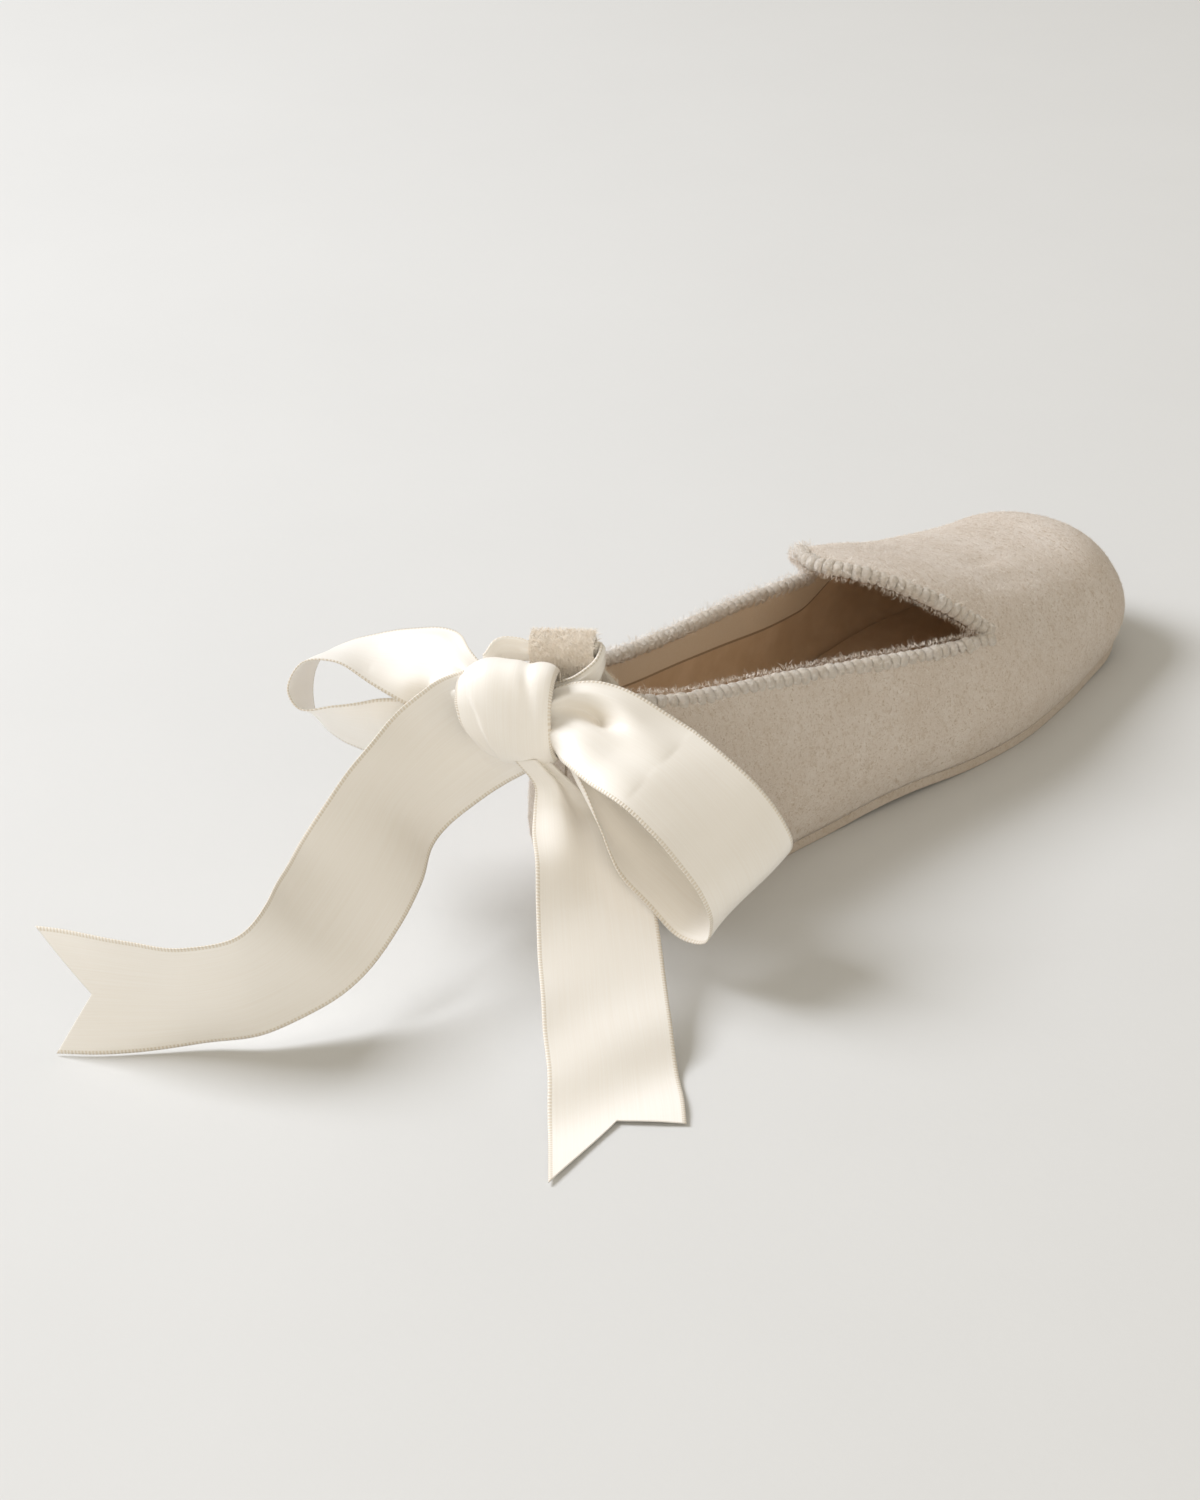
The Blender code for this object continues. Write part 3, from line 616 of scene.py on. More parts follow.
yarn, tree, shader = new_material("cream_wool_yarn", (0.72, 0.655, 0.57), 0.95)
spot = add_node(tree, "TexCoord", {}).outputs["Object"]
strand = noise(tree, spot, 1100.0, 6.0, 0.72, 1.8)
cloudy = noise(tree, spot, 160.0, 4.0, 0.6)
ground = blend_colours(tree, between(tree, cloudy, 0.35, 0.7), *YARN_TONES)
ground = blend_colours(tree, between(tree, strand, 0.48, 0.70), ground, YARN_STRANDS)
tree.links.new(ground, shader.inputs["Base Color"])
soft_finish(shader, 0.15, 0.35, 0.5)
bump(tree, shader, strand, 0.0009, 1.0)

chance = np.random.default_rng(7)
bars, rim_places, rim_outs, rim_offs = [], [], [], []
for side in (LATERAL, MEDIAL):
    for edge, pitch in ((collar_edge(side), EDGING_PITCH), (tongue_edge(side), TONGUE_PITCH)):
        place, along, outward, off = edge_frames(*edge, pitch)
        if pitch == EDGING_PITCH:
            free = np.abs(place[:, 0] - ONTO_ORIGIN[0]) > STRAP_ROOM
            free |= place[:, 1] > SEAM_BEHIND
            place, along, outward, off = place[free], along[free], outward[free], off[free]
        scale = chance.uniform(0.84, 1.12, len(place))
        slant = chance.uniform(-0.05, 0.25, len(place))
        width = EDGING_HALF_WIDTH * pitch / EDGING_PITCH
        bars.append(yarn_bars(place, along, outward, off, width, EDGING_DEPTH, scale, slant))
        rim_places.append(place)
        rim_outs.append(outward)
        rim_offs.append(off)
edging = tubes("edge_stitching", np.concatenate(bars), yarn)
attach(edging, "root")

# Nap. The felt's loose wool fibres lie along its surface and stand off it a little, and
# shaggier ones stand out of the stitched edges.
NAP_FIBRES = 42000
NAP_LENGTH = 0.0016
NAP_RISE = 0.00045
NAP_THICKNESS = 0.00008
RIM_FIBRES = 70
RIM_LENGTH = 0.0017
RIM_RISE = 0.0011
RIM_RADIUS = 0.0022
RIM_SPREAD = 0.0011
RIM_REACH_DOWN = 0.0030
FIBRE_TONES = ((0.78, 0.69, 0.60), (0.95, 0.90, 0.84))


def loose_fibres(name, place, normal, length, rise, thickness, seed, material):
    """Fine hairs of three faces each: from a root in the surface, bent over by a square
    curve to lie in a chance direction, and ending in a point."""
    pick = np.random.default_rng(seed)
    count = len(place)
    drift = pick.normal(size=(count, 3))
    drift = unit(drift - normal * (drift * normal).sum(axis=1)[:, None])
    reach = length * pick.uniform(0.4, 1.3, count)[:, None]
    up = rise * pick.uniform(0.2, 1.3, count)[:, None]
    side = np.cross(drift, normal) * thickness / 2
    curl = np.cross(drift, normal) * pick.normal(0, 0.22, count)[:, None] * reach
    root = place - normal * 0.0001
    bend = place + normal * up * 0.75 + drift * reach * 0.45 + curl * 0.3
    tip = place + normal * up + drift * reach + curl
    verts = np.stack([root - side, root + side, bend + side, bend - side, tip], axis=1)
    at = np.arange(count)[:, None] * 5
    quads = (at + np.array([[0, 1, 2, 3]])).tolist()
    points = (at + np.array([[3, 2, 4]])).tolist()
    mesh = bpy.data.meshes.new(name)
    mesh.from_pydata(verts.reshape(-1, 3).tolist(), [], quads + points)
    mesh.materials.append(material)
    return add_object(name, mesh)


def scatter(grids, normals, count, seed):
    """Chance places on grids, as many on each cell as its area asks for."""
    corner, step_a, step_b, up = [], [], [], []
    for points, out in zip(grids, normals):
        corner.append(points[:-1, :-1].reshape(-1, 3))
        step_a.append((points[1:, :-1] - points[:-1, :-1]).reshape(-1, 3))
        step_b.append((points[:-1, 1:] - points[:-1, :-1]).reshape(-1, 3))
        up.append(out[:-1, :-1].reshape(-1, 3))
    corner, step_a, step_b, up = map(np.concatenate, (corner, step_a, step_b, up))
    area = np.linalg.norm(np.cross(step_a, step_b), axis=1)
    pick = np.random.default_rng(seed)
    cell = pick.choice(len(area), count, p=area / area.sum())
    share = pick.uniform(0, 1, (2, count, 1))
    return corner[cell] + step_a[cell] * share[0] + step_b[cell] * share[1], up[cell]


hair, tree, shader = new_material("loose_wool_fibre", (0.82, 0.76, 0.69), 0.9)
spot = add_node(tree, "TexCoord", {}).outputs["Object"]
tone = noise(tree, spot, 700.0, 2.0, 0.5)
tree.links.new(blend_colours(tree, between(tree, tone, 0.35, 0.65), *FIBRE_TONES),
               shader.inputs["Base Color"])
shader.inputs["Specular IOR Level"].default_value = 0.2

place, normal = scatter(patches, outsides, NAP_FIBRES, 11)
steady = np.linalg.norm(normal, axis=1) > 0.5
nap_piece = loose_fibres("felt_nap", place[steady], normal[steady], NAP_LENGTH, NAP_RISE,
                         NAP_THICKNESS, 12, hair)
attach(nap_piece, "root")

# Around each yarn bar: roots on a circle about the wall's middle, some of them lower down
rim_place = np.repeat(np.concatenate(rim_places), RIM_FIBRES, axis=0)
rim_out = np.repeat(np.concatenate(rim_outs), RIM_FIBRES, axis=0)
rim_off = np.repeat(np.concatenate(rim_offs), RIM_FIBRES, axis=0)
around = chance.uniform(-0.3, np.pi * 0.9, len(rim_place))[:, None]
lean = rim_out * np.cos(around) + rim_off * np.sin(around)
jitter = chance.normal(0, RIM_SPREAD, (len(rim_place), 3))
jitter -= lean * (jitter * lean).sum(axis=1)[:, None]
low = np.where(np.cos(around) > 0.55, chance.uniform(0, RIM_REACH_DOWN, around.shape), 0)
rim_spot = rim_place - rim_out * WALL / 2 + lean * RIM_RADIUS + jitter - rim_off * low
rim_nap = loose_fibres("edge_nap", rim_spot, lean, RIM_LENGTH, RIM_RISE, NAP_THICKNESS, 13, hair)
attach(rim_nap, "root")

# Sole. A flat felt outsole stitched to the upper's turned-in lower edge, with a slight
# arch and toe spring. It is the upper's felt, its colour darkened as painted shade where
# it lies under the upper's tucked-in edge by the floor.
SOLE_INSET = 0.0003
SOLE_EDGE_ROUND = 0.0014
# Painted shade: the darker brown that the sole's felt colour is mixed towards
SOLE_SHADE_TONE = (0.50, 0.39, 0.28)


def sole_sheet(inset, base, name, materials):
    """The last's outline drawn in by the inset, as rings about the spine."""
    y = LENGTH / 2 * -np.cos(np.linspace(0, np.pi, 181))[:, None]
    ring = np.array((1.0, 0.97, 0.9, 0.8, 0.65, 0.45, 0.2, 0.0))[None, ::-1]
    grids = []
    for side in (LATERAL, MEDIAL):
        x_edge, y_edge = plan_point(side, y, 1.0, 1.0, inset)
        plan_y = spine(y) + (y_edge - spine(y)) * ring
        z = base + lift(spine(y) + (y - spine(y)) * ring)
        grids.append(np.stack([x_edge * ring, plan_y, z], axis=-1) + ONTO_ORIGIN)
    return join_grids(name, grids, [True, False], materials)


def finish_slab(piece, thickness, edge_round):
    """The sheet's thickness upwards, and its edges rounded."""
    slab = piece.modifiers.new("Thickness", "SOLIDIFY")
    slab.thickness = thickness
    slab.offset = 1
    bevel = piece.modifiers.new("Rounded edge", "BEVEL")
    bevel.width = edge_round
    bevel.segments = 3
    bevel.limit_method = "ANGLE"
    bevel.angle_limit = np.radians(50)


sole_felt = felt.copy()
sole_felt.name = "cream_sole_felt"
tree = sole_felt.node_tree
shader = tree.nodes["Principled BSDF"]
# Painted shade: the felt's colour is mixed 45% towards the darker brown, for the shade under the
# upper's edge
sole_shade_mix = blend_colours(tree, 0.45, shader.inputs["Base Color"].links[0].from_socket, SOLE_SHADE_TONE)
tree.links.new(sole_shade_mix, shader.inputs["Base Color"])
sole = sole_sheet(TUCK + SOLE_INSET, 0.0, "outsole", [sole_felt])
finish_slab(sole, SOLE_THICKNESS + GAP * 0.9, SOLE_EDGE_ROUND)
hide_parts("sole")
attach(sole, "root")

# Insole. A footbed of 3 mm tan felt with its brushed face up, cut a wall's thickness inside
# the upper's lower edge and glued in on the sole.
INSOLE_THICKNESS = 0.0030
INSOLE_EDGE_ROUND = 0.0008
FAR_FROM_EDGE = 0.05

insole = sole_sheet(TUCK + WALL + GAP, UPPER_BASE, "footbed", [lining])
finish_slab(insole, INSOLE_THICKNESS, INSOLE_EDGE_ROUND)
marks = insole.data.attributes.new("below_edge", "FLOAT", "POINT")
marks.data.foreach_set("value", np.full(len(insole.data.vertices), FAR_FROM_EDGE, np.float32))
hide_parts("insole")
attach(insole, "root")

# Heel strap. A short tab of fluffy cream felt, folded over the collar at the centre back with
# a leg on each face of the wall. It is pinched to a neck above the wall and rounds a channel
# that the ribbon pulls back and turns.
STRAP_WIDTH = 0.0180
STRAP_FELT = 0.0024
STRAP_RISE = 0.0185
STRAP_CHANNEL = 0.0062
STRAP_COVER = 0.0032
STRAP_NECK = 0.0064
STRAP_PINCH = 0.0024
STRAP_TURN = np.radians(35)
STRAP_LEAN = 0.0055
STRAP_FREE_HEIGHT = 0.0070
STRAP_LEG_OUTSIDE = 0.0150
STRAP_LEG_INSIDE = 0.0080
STRAP_GAP = 0.0007
STRAP_GAP_INSIDE = 0.0018
STRAP_EDGE_ROUND = 0.0007
STRAP_LUMPS = 0.00022
STRAP_COLUMNS = 33
STRAP_ROWS = 110
STRAP_FIBRES = 14000
STRAP_FIBRE_LENGTH = 0.0021
STRAP_FIBRE_RISE = 0.0010
# Painted light: the strap's colour is lifted halfway to this lighter, warmer tone, for light its face
# doesn't get from the lamps
STRAP_LIT_TONE = (1.0, 0.90, 0.76)
STRAP_GLOW = (1.0, 0.93, 0.82, 1.0)


def heel_line(z, outward):
    """The wall's outer face around the centre back at a height, moved out along its own
    normal, from the inner side to the outer side."""
    y = HEEL_END + HEEL_ROUND * (1 - np.cos(np.linspace(0, np.pi / 2, 24)))
    rows = []
    for step in (-0.01, 0.0, 0.01):
        halves = []
        for side in (MEDIAL, LATERAL):
            turn = turn_at_height(y, z - HEEL_HEIGHT + collar_height(side, y))
            halves.append(on_last(side, y, turn + step) - ONTO_ORIGIN)
        rows.append(np.concatenate([halves[0][::-1], halves[1][1:]]))
    return rows[1] + unit(np.cross(np.gradient(rows[1], axis=0), rows[2] - rows[0])) * outward


def strap_path():
    """Rows of (outward from the wall's outer face, height): the outside leg, the neck, most
    of a circle around the channel, and the inside leg."""
    middle = -WALL / 2
    leg = WALL / 2 + STRAP_GAP + STRAP_FELT / 2
    inner_leg = WALL / 2 + STRAP_GAP_INSIDE + STRAP_FELT / 2
    bulge = STRAP_CHANNEL / 2 + STRAP_FELT / 2
    centre = HEEL_HEIGHT + STRAP_RISE - STRAP_FELT - STRAP_CHANNEL / 2
    rows = [(middle + leg, HEEL_HEIGHT - STRAP_LEG_OUTSIDE * s) for s in (1.0, 0.66, 0.33, 0.0)]
    rows.append((middle + leg, HEEL_HEIGHT + STRAP_COVER))
    rows.append((middle + STRAP_PINCH, HEEL_HEIGHT + STRAP_NECK))
    for angle in np.linspace(-np.pi / 4, np.pi * 5 / 4, 25):
        rows.append((middle + bulge * np.cos(angle), centre + bulge * np.sin(angle)))
    rows.append((middle - STRAP_PINCH, HEEL_HEIGHT + STRAP_NECK))
    rows.append((middle - inner_leg, HEEL_HEIGHT + STRAP_COVER))
    for share in (0.0, 0.5, 1.0):
        rows.append((middle - inner_leg, HEEL_HEIGHT - STRAP_LEG_INSIDE * share))
    return rows


def lit_wool_copy(wool, name):
    """A copy of a wool material for the strap: its colour taken halfway to a lighter, warmer
    tone as painted light, for a face that the lamps leave in shade, and fluffier.
    """
    material = wool.copy()
    material.name = name
    tree = material.node_tree
    shader = tree.nodes["Principled BSDF"]
    # Painted light: the colour is lifted towards the lighter, warmer tone
    warm = blend_colours(tree, 0.5, shader.inputs["Base Color"].links[0].from_socket, STRAP_LIT_TONE)
    tree.links.new(warm, shader.inputs["Base Color"])
    shader.inputs["Sheen Weight"].default_value = 1.0
    shader.inputs["Sheen Roughness"].default_value = 0.6
    shader.inputs["Sheen Tint"].default_value = STRAP_GLOW
    return material


# The strap's felt and its fibres both carry this painted light in their colour
strap_felt = lit_wool_copy(yarn, "cream_strap_felt")
strap_hair = lit_wool_copy(hair, "loose_strap_fibre")

# Each row follows the wall's curve while it is on the wall. Above it, the row eases over into
# a straight one that is turned about the pivot and leans back.
across = np.linspace(-STRAP_WIDTH / 2, STRAP_WIDTH / 2, STRAP_COLUMNS)
collar_line = heel_line(HEEL_HEIGHT, -WALL / 2)
pivot = np.interp(0.0, collar_line[:, 0], collar_line[:, 1])
rows = []
for outward, z in strap_path():
    on_wall = min(z, HEEL_HEIGHT)
    line = heel_line(on_wall, outward)
    wall_y = np.interp(across, line[:, 0], line[:, 1]) - pivot
    wall_z = np.interp(across, line[:, 0], line[:, 2]) + z - on_wall
    rise = np.clip((z - HEEL_HEIGHT - STRAP_COVER) / STRAP_FREE_HEIGHT, 0, 1)
    free = rise ** 2 * (3 - 2 * rise)
    behind = wall_y + (-outward - WALL / 2 - wall_y) * free
    height = wall_z + (z - wall_z) * free
    turn = STRAP_TURN * free
    x = across * np.cos(turn) - behind * np.sin(turn)
    y = pivot + across * np.sin(turn) + behind * np.cos(turn) - STRAP_LEAN * free
    rows.append(np.stack([x, y, height], axis=-1) + ONTO_ORIGIN)
coarse = np.array(rows)
s = distances(coarse[:, STRAP_COLUMNS // 2])
even = np.linspace(0, s[-1], STRAP_ROWS)
fine = np.stack([
    [smooth_through(even, s, coarse[:, column, k]) for k in range(3)] for column in range(STRAP_COLUMNS)
]).transpose(2, 0, 1)
strap_out = grid_normals(fine, 1.0)
x, y, z = fine[..., 0], fine[..., 1], fine[..., 2]
lumps = STRAP_LUMPS * np.sin(x * 1400 + z * 900) * np.sin(y * 1100 + 1.0)
fine = fine + strap_out * lumps[..., None]
strap = join_grids("heel_strap", [fine], [True], [strap_felt])
thick = strap.modifiers.new("Felt", "SOLIDIFY")
thick.thickness = STRAP_FELT
thick.offset = 0
soft = strap.modifiers.new("Soft edge", "BEVEL")
soft.width = STRAP_EDGE_ROUND
soft.segments = 3
soft.limit_method = "ANGLE"
soft.angle_limit = np.radians(50)
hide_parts("heel_loop")
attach(strap, "root")

facing_out = np.sign(((fine - fine.mean(axis=(0, 1))) * strap_out).sum(axis=-1).mean())
place, normal = scatter([fine], [strap_out * facing_out], STRAP_FIBRES, 21)
strap_nap = loose_fibres("strap_nap", place + normal * STRAP_FELT / 2, normal, STRAP_FIBRE_LENGTH,
                         STRAP_FIBRE_RISE, NAP_THICKNESS, 22, strap_hair)
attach(strap_nap, "root")

# Ribbon. One kind of ivory double-face satin ribbon, 37 mm wide with narrow woven edges,
# is used for all the bow. A strip follows a row of folds with its width kept: where it is
# gathered, the width goes into a puff and pleats across.
RIBBON_WIDTH = 0.0368
RIBBON_THICKNESS = 0.0004
GATHER_PUFF = 0.15
PLEATS = 2.0
SWAY = 0.0008
SWAY_LENGTH = 0.036
SWAY_SLANT = 0.35
SWAY_SWELL = 0.083
SWAY_FROM = 0.03
SELVEDGE_WIDTH = 0.0013
SELVEDGE_DOTS = 6500.0
SATIN_TONES = ((0.955, 0.91, 0.84), (0.98, 0.945, 0.885))
SELVEDGE_TONES = ((0.79, 0.71, 0.59), (0.90, 0.85, 0.77))

# Folds: the ribbon's middle in mm, the way its width points, and how much of it is spread
RIGHT_LOOP = np.array((
    (3.0, -140.5, 70.5, -0.25, -0.30, -0.90, 0.34),
    (10.8, -137.0, 71.0, -0.10, -0.45, -0.88, 0.52),
    (21.0, -136.5, 71.0, 0.00, -0.85, -0.53, 0.74),
    (32.0, -135.0, 67.0, 0.05, -0.94, -0.34, 0.90),
    (42.5, -133.0, 63.0, 0.10, -0.97, -0.20, 1.00),
    (52.0, -131.0, 56.5, 0.10, -0.97, -0.22, 1.00),
    (59.5, -128.5, 49.0, 0.03, -0.96, -0.26, 1.00),
    (65.5, -126.0, 40.5, 0.00, -0.96, -0.28, 1.00),
    (67.0, -123.0, 31.0, 0.00, -0.96, -0.28, 1.00),
    (61.5, -121.0, 23.0, 0.07, -0.95, -0.31, 1.00),
    (52.0, -121.0, 21.8, 0.08, -0.94, -0.32, 1.00),
    (42.0, -123.5, 28.5, 0.12, -0.95, -0.28, 1.00),
    (35.0, -128.5, 36.0, 0.19, -0.96, -0.20, 0.95),
    (28.0, -133.0, 47.0, 0.25, -0.95, -0.17, 0.70),
    (20.0, -135.5, 57.0, 0.30, -0.94, -0.10, 0.45),
    (11.5, -134.5, 61.5, 0.30, -0.94, -0.10, 0.32),
    (4.0, -138.0, 63.5, 0.30, -0.94, -0.10, 0.24),
))
LEFT_LOOP = np.array((
    (-9.5, -143.5, 72.0, 0.20, -0.40, -0.90, 0.30),
    (-19.0, -143.7, 74.4, 0.25, -0.55, -0.80, 0.47),
    (-32.5, -140.2, 73.2, 0.36, -0.77, -0.53, 0.74),
    (-40.5, -144.0, 74.0, 0.54, -0.83, -0.14, 0.95),
    (-49.0, -148.5, 75.0, 0.57, -0.82, 0.09, 1.00),
    (-57.5, -153.5, 76.0, 0.58, -0.76, 0.29, 1.00),
    (-63.5, -159.5, 74.0, 0.54, -0.74, 0.40, 1.00),
    (-65.0, -163.5, 66.0, 0.50, -0.76, 0.42, 1.00),
    (-61.5, -164.0, 59.5, 0.52, -0.69, 0.50, 1.00),
    (-54.5, -160.0, 57.0, 0.50, -0.53, 0.68, 1.00),
    (-46.5, -155.0, 55.5, 0.45, -0.42, 0.79, 1.00),
    (-37.5, -149.5, 54.5, 0.39, -0.29, 0.87, 0.85),
    (-28.5, -143.2, 56.0, 0.22, -0.05, 0.97, 0.55),
    (-19.2, -139.8, 63.0, 0.10, 0.10, 0.98, 0.30),
))
LEFT_TAIL = np.array((
    (-5.5, -144.5, 67.5, 0.69, 0.12, -0.71, 0.92),
    (-16.3, -147.3, 59.7, 0.43, 0.32, -0.85, 1.00),
    (-22.0, -155.0, 53.0, 0.37, 0.36, -0.86, 1.00),
    (-23.5, -168.5, 46.0, 0.32, 0.39, -0.86, 1.00),
    (-19.5, -182.0, 40.0, 0.52, 0.39, -0.76, 1.00),
    (-16.0, -196.0, 34.0, 0.63, 0.37, -0.68, 1.00),
    (-12.0, -210.5, 29.5, 0.50, 0.33, -0.80, 1.00),
    (-10.0, -224.5, 26.0, 0.24, 0.28, -0.93, 1.00),
    (-13.5, -238.0, 22.0, -0.02, 0.30, -0.95, 1.00),
    (-24.0, -249.0, 19.8, -0.07, 0.29, -0.95, 1.00),
    (-36.5, -258.0, 19.2, 0.00, 0.12, -0.99, 1.00),
    (-60.0, -272.0, 19.0, 0.16, -0.13, -0.98, 1.00),
))
RIGHT_TAIL = np.array((
    (4.8, -142.5, 55.9, 0.37, 0.84, -0.39, 0.30),
    (10.5, -138.5, 47.5, 0.37, 0.84, -0.39, 0.42),
    (14.5, -138.0, 42.0, 0.37, 0.84, -0.39, 0.65),
    (21.5, -141.5, 37.0, 0.37, 0.85, -0.37, 0.87),
    (29.5, -147.0, 31.8, 0.42, 0.84, -0.36, 0.98),
    (36.5, -153.5, 25.6, 0.45, 0.84, -0.31, 1.00),
    (50.0, -167.0, 17.0, 0.54, 0.80, -0.25, 1.00),
    (64.0, -181.0, 11.3, 0.54, 0.80, -0.25, 1.00),
    (75.0, -191.5, 5.2, 0.59, 0.79, -0.19, 1.00),
    (85.0, -202.0, 1.6, 0.64, 0.77, -0.04, 1.00),
    (103.0, -222.0, 0.9, 0.64, 0.77, 0.00, 1.00),
))

# How far a tail's cut end stays short of its last fold, at both edges and the notch
LEFT_CUT = (0.0000, 0.0140, 0.0020)
RIGHT_CUT = (0.0000, 0.0255, 0.0210)

# Satin: fine streaks across the cloth, and rows of dots in both woven edges
satin, tree, shader = new_material("ivory_satin", (0.91, 0.85, 0.74), 0.36)
cloth = add_node(tree, "UVMap", {"uv_map": "woven"}).outputs["UV"]
apart = add_node(tree, "SeparateXYZ", {}, Vector=cloth)
width_at = add_node(tree, "Math", {"operation": "ABSOLUTE"}, i0=apart.outputs["Y"]).outputs[0]
selvedge = between(tree, width_at, RIBBON_WIDTH / 2 - SELVEDGE_WIDTH,
                   RIBBON_WIDTH / 2 - SELVEDGE_WIDTH + 0.0003)
streaks = add_node(tree, "Mapping", {}, Vector=cloth)
streaks.inputs["Scale"].default_value = (30.0, 2200.0, 1.0)
weft = noise(tree, streaks.outputs["Vector"], 1.0, 3.0, 0.6)
turn = add_node(tree, "Math", {"operation": "MULTIPLY"}, i0=apart.outputs["X"], i1=SELVEDGE_DOTS)
dots = add_node(tree, "Math", {"operation": "SINE"}, i0=turn.outputs[0]).outputs[0]
edge_dots = add_node(tree, "Math", {"operation": "MULTIPLY"}, i0=selvedge, i1=dots).outputs[0]
ground = blend_colours(tree, between(tree, weft, 0.3, 0.7), *SATIN_TONES)
edge_tone = blend_colours(tree, between(tree, dots, -0.6, 0.6), *SELVEDGE_TONES)
tree.links.new(blend_colours(tree, selvedge, ground, edge_tone), shader.inputs["Base Color"])
soft_finish(shader, 0.45, 0.25, 0.35)
woven_height = add_node(tree, "Math", {"operation": "MULTIPLY_ADD"}, i0=weft, i1=0.25,
                        i2=edge_dots).outputs[0]
bump(tree, shader, woven_height, 0.00008, 0.6)


def along_folds(folds, s):
    """Middle, unit way across and spread at the distances s, and straight on past the
    last fold."""
    spots = folds[:, :3] / 1000
    stations = distances(spots)
    middle = np.stack([smooth_through(s, stations, spots[:, k]) for k in range(3)], axis=-1)
    across = unit(np.stack([smooth_through(s, stations, folds[:, k]) for k in (3, 4, 5)], axis=-1))
    return middle, across, np.clip(smooth_through(s, stations, folds[:, 6]), 0, 1)


def ribbon_grid(folds, puff_side, cut, columns, rows, pleat_start, pocket):
    """Middle surface of a strip, its place along and across the cloth, and its length.

    Off the folds' middle stands the sum of three curves: a square-curve puff, cosine pleats
    whose slope makes up the gathered width, and a slow sine sway that slants across the strip
    and swells and fades along it. A pocket is a hollow in the shape of a bell, given by its
    place and half width across, its depth, and its place and half length along."""
    length = np.linalg.norm(np.diff(folds[:, :3] / 1000, axis=0), axis=1).sum()
    v = np.linspace(-1, 1, columns + 1)[None, :]
    u = np.linspace(0, 1, rows + 1)[:, None]
    short = np.interp(v, (-1, 0, 1), cut)
    s = length * u - short * np.clip((u - 0.75) / 0.25, 0, 1)
    middle, across, spread = along_folds(folds, s)
    ahead = along_folds(folds, s + 0.001)[0] - along_folds(folds, s - 0.001)[0]
    normal = unit(np.cross(across, ahead))
    half = RIBBON_WIDTH / 2 * spread * v
    gathered = np.sqrt(1.04 - spread ** 2) - 0.2
    puff = puff_side * GATHER_PUFF * RIBBON_WIDTH * gathered * (1 - v ** 2)
    steep = np.sqrt(np.clip(1 / np.maximum(spread, 0.28) - 1, 0, 2.5))
    height = steep * RIBBON_WIDTH * spread / (PLEATS * np.pi) * 0.45
    pleat = height * np.cos(PLEATS * np.pi * v + pleat_start) * (1 - 0.35 * v ** 2)
    wave = np.sin(2 * np.pi * (s / SWAY_LENGTH + SWAY_SLANT * v))
    swell = 0.6 + 0.4 * np.sin(2 * np.pi * s / SWAY_SWELL)
    sway = SWAY * spread * wave * np.clip(s / SWAY_FROM, 0, 1) * swell
    pocket_at, pocket_wide, pocket_deep, pocket_from, pocket_long = pocket
    apart = ((v - pocket_at) / pocket_wide) ** 2 + ((s - pocket_from) / pocket_long) ** 2
    sunk = pocket_deep * np.exp(-apart)
    stand_off = puff + pleat + sway - puff_side * sunk
    points = middle + across * half[..., None] + normal * stand_off[..., None]
    return points + ONTO_ORIGIN, s * np.ones_like(v), RIBBON_WIDTH / 2 * v * np.ones_like(u), length


def satin_strip(name, points, along_cloth, across_cloth):
    """A strip's mesh with its cloth coordinates in metres, and its thickness."""
    piece = join_grids(name, [points], [False], [satin],
                       {"along_cloth": [along_cloth], "across_cloth": [across_cloth]})
    mesh = piece.data
    count = len(mesh.vertices)
    cloth_place = np.empty((count, 2), np.float32)
    for k, key in enumerate(("along_cloth", "across_cloth")):
        numbers = np.empty(count, np.float32)
        mesh.attributes[key].data.foreach_get("value", numbers)
        cloth_place[:, k] = numbers
    corner = np.empty(len(mesh.loops), np.int32)
    mesh.loops.foreach_get("vertex_index", corner)
    layer = mesh.uv_layers.new(name="woven")
    layer.data.foreach_set("uv", cloth_place[corner].ravel())
    thick = piece.modifiers.new("Satin", "SOLIDIFY")
    thick.thickness = RIBBON_THICKNESS
    thick.offset = 0
    return piece


def ribbon(name, node, folds, puff_side, cut, columns=48, rows=260,
           pleat_start=0.0, pocket=(0, 1, 0, 0, 1)):
    """One strip of ribbon from its folds. Its area is less the notch that is cut into a
    tail's end."""
    points, along_cloth, across_cloth, length = ribbon_grid(
        folds, puff_side, cut, columns, rows, pleat_start, pocket)
    piece = satin_strip(name, points, along_cloth, across_cloth)
    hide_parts(node)
    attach(piece, "root")
    return piece


# Knot. The ribbon is wrapped once around the gathered middle of the bow: a rounded ring of
# satin whose edges curl in, with a lap edge that runs down across it.
KNOT_CENTRE = np.array((-0.0035, -0.1430, 0.0698))
KNOT_TURN = np.radians(30)
KNOT_LENGTH = 0.0285
KNOT_HEIGHT = 0.0300
KNOT_DEPTH = 0.0165
KNOT_WRAP = 0.078
KNOT_START = np.pi * 0.9
LAP_STEP = 0.0013
LAP_SHARPNESS = 0.016
ROLL_HEIGHT = 0.0008
CREASE_DEPTH = 0.0010

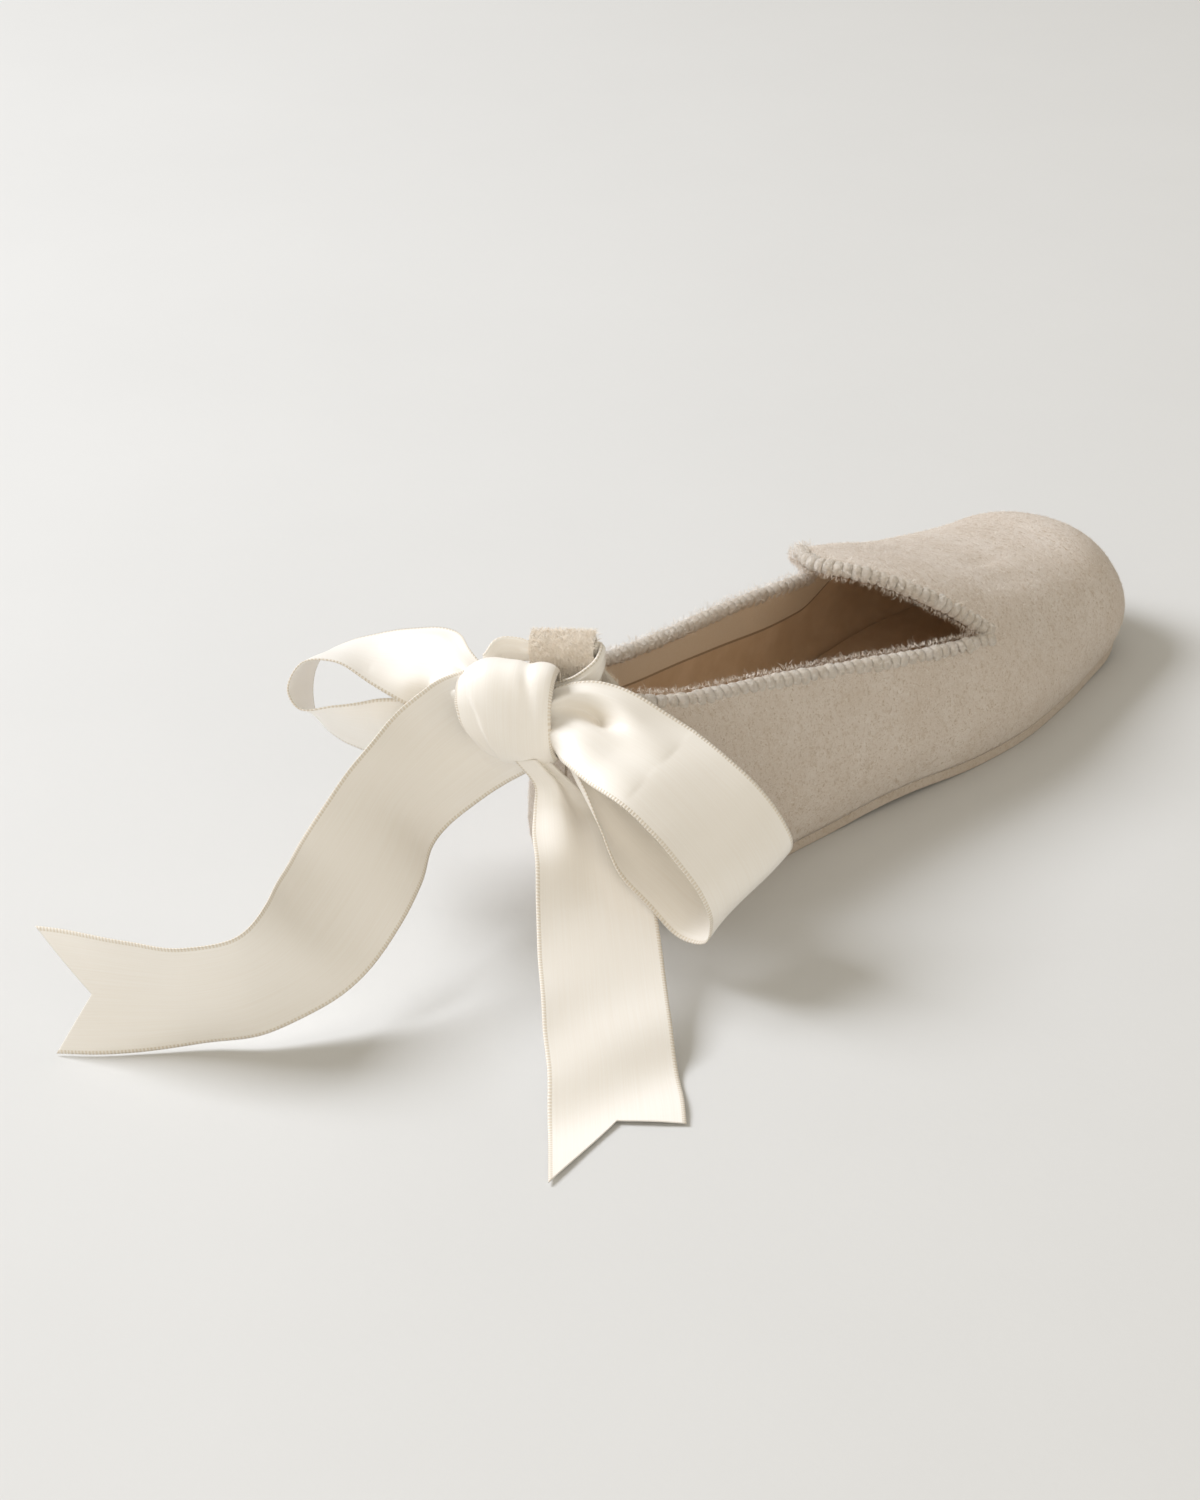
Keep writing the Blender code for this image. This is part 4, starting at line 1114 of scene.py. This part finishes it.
# The ring is a squared-off ellipse that shrinks towards both edges by powers of the way
# across. Its layers stand off it by the sum of an S-curve step at the lap edge, which leaves
# the lower layer on the left, a bell-shaped roll beside the lap and a bell-shaped crease near
# the right edge. All three slant, because their places across shift with the height.
u = np.linspace(0, 1, 161)[:, None]
v = np.linspace(-1, 1, 61)[None, :]
turn = 2 * np.pi * u + KNOT_START
side = np.sin(turn)
low = np.clip((0.35 - side) / 1.35, 0, 1)
shrink = np.where(v < 0, 1 - 0.40 * (-v) ** 3.0, 1 - 0.16 * np.abs(v) ** 9)
along = KNOT_LENGTH / 2 * v * np.where(v < 0, 1 - 0.36 * low ** 1.5, 1 - 0.06 * np.cos(turn) ** 2)
deep = np.sign(np.cos(turn)) * np.abs(np.cos(turn)) ** 0.85 * KNOT_DEPTH / 2
tall = np.sign(side) * np.abs(side) ** 0.80 * KNOT_HEIGHT / 2
step = LAP_STEP / (1 + np.exp(-(v + 0.50 + 0.36 * side) / LAP_SHARPNESS)) - LAP_STEP
roll = ROLL_HEIGHT * np.exp(-((v - 0.05 + 0.55 * side) / 0.36) ** 2)
crease = -CREASE_DEPTH * np.exp(-((v - 0.66 + 0.25 * side) / 0.14) ** 2) * np.clip(side + 0.1, 0, 1)
lift_off = step + roll + crease
deep = deep * shrink * (1 + lift_off / 0.0085)
tall = tall * shrink * (1 + 0.7 * lift_off / 0.015)
points = np.stack([
    KNOT_CENTRE[0] + along * np.cos(KNOT_TURN) + deep * np.sin(KNOT_TURN),
    KNOT_CENTRE[1] + along * np.sin(KNOT_TURN) - deep * np.cos(KNOT_TURN),
    KNOT_CENTRE[2] + tall + along * 0,
], axis=-1) + ONTO_ORIGIN
knot = satin_strip("bow_knot", points, KNOT_WRAP * u * np.ones_like(v),
                   RIBBON_WIDTH / 2 * v * np.ones_like(u))
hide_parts("ribbon_knot")
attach(knot, "root")

# Loops and tails. Two loops of ribbon stand out from the knot, each turned back on itself,
# and two tails hang from it down to the floor, with notched ends. The right loop has a deep
# pocket where it is pulled into the knot.
NO_CUT = (0, 0, 0)
RIGHT_POCKET = (-0.26, 0.22, 0.0110, 0.0165, 0.0085)
RIGHT_PLEAT_START = 2.2

ribbon("bow_left_loop", "ribbon_left_loop", LEFT_LOOP, -1, NO_CUT)
ribbon("bow_right_loop", "ribbon_right_loop", RIGHT_LOOP, 1, NO_CUT,
       pleat_start=RIGHT_PLEAT_START, pocket=RIGHT_POCKET)
ribbon("bow_left_tail", "ribbon_left_tail", LEFT_TAIL, -1, LEFT_CUT)
ribbon("bow_right_tail", "ribbon_right_tail", RIGHT_TAIL, -1, RIGHT_CUT)

# Band. The stretch of ribbon that runs bunched up through the strap's channel, and comes out
# flattened on both sides, where it turns round to the knot.
BAND_LEFT = np.array(((-14.0, -135.0, 82.5), (-14.5, -139.0, 80.0))) / 1000
BAND_RIGHT = np.array(((12.0, -122.8, 79.5), (10.0, -128.6, 76.0), (4.5, -133.5, 73.5))) / 1000
BAND_RADIUS = 0.0023
BAND_TURNS = 2.55
BAND_LOBES = 5
BAND_LOBE_DEPTH = 0.12
BAND_SQUEEZE = 0.55
BAND_STAND = 0.45

channel = np.array([0.0, pivot - STRAP_LEAN, HEEL_HEIGHT + STRAP_RISE - STRAP_FELT - STRAP_CHANNEL / 2])
reach = np.array([np.cos(STRAP_TURN), np.sin(STRAP_TURN), 0.0]) * STRAP_WIDTH / 2
route = np.array([
    *BAND_LEFT[::-1], channel - reach * 1.15, channel - reach * 0.5, channel,
    channel + reach * 0.5, channel + reach * 1.15, *BAND_RIGHT,
])
stations = distances(route)
s = np.linspace(0, stations[-1], 161)
centre = np.stack([smooth_through(s, stations, route[:, k]) for k in range(3)], axis=-1)
ahead = unit(np.gradient(centre, axis=0))
beside = unit(np.cross(ahead, (0, 0, 1)))
above = np.cross(beside, ahead)

# Across, the cloth is rolled into a spiral with cosine lobes about the route. Outside the
# channel the roll is squeezed from its sides and stands taller.
v = np.linspace(-1, 1, 61)
spiral = np.pi * BAND_TURNS * v
radius = BAND_RADIUS * (0.62 + 0.38 * np.abs(v)) * (1 + BAND_LOBE_DEPTH * np.cos(BAND_LOBES * spiral))
in_channel = stations[len(BAND_LEFT) + 2]
outside = np.clip(np.abs(s - in_channel) / (STRAP_WIDTH / 2) - 0.85, 0, 0.5)[:, None, None] * 2
narrow = 1 - BAND_SQUEEZE * outside
tall_share = 1 + BAND_STAND * outside
points = centre[:, None, :] + narrow * (radius * np.cos(spiral))[None, :, None] * beside[:, None, :] \
    + tall_share * (radius * np.sin(spiral))[None, :, None] * above[:, None, :] + ONTO_ORIGIN
band = satin_strip("bow_band", points, s[:, None] * np.ones_like(v)[None, :],
                   np.ones_like(s)[:, None] * RIBBON_WIDTH / 2 * v[None, :])
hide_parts("ribbon_band")
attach(band, "root")
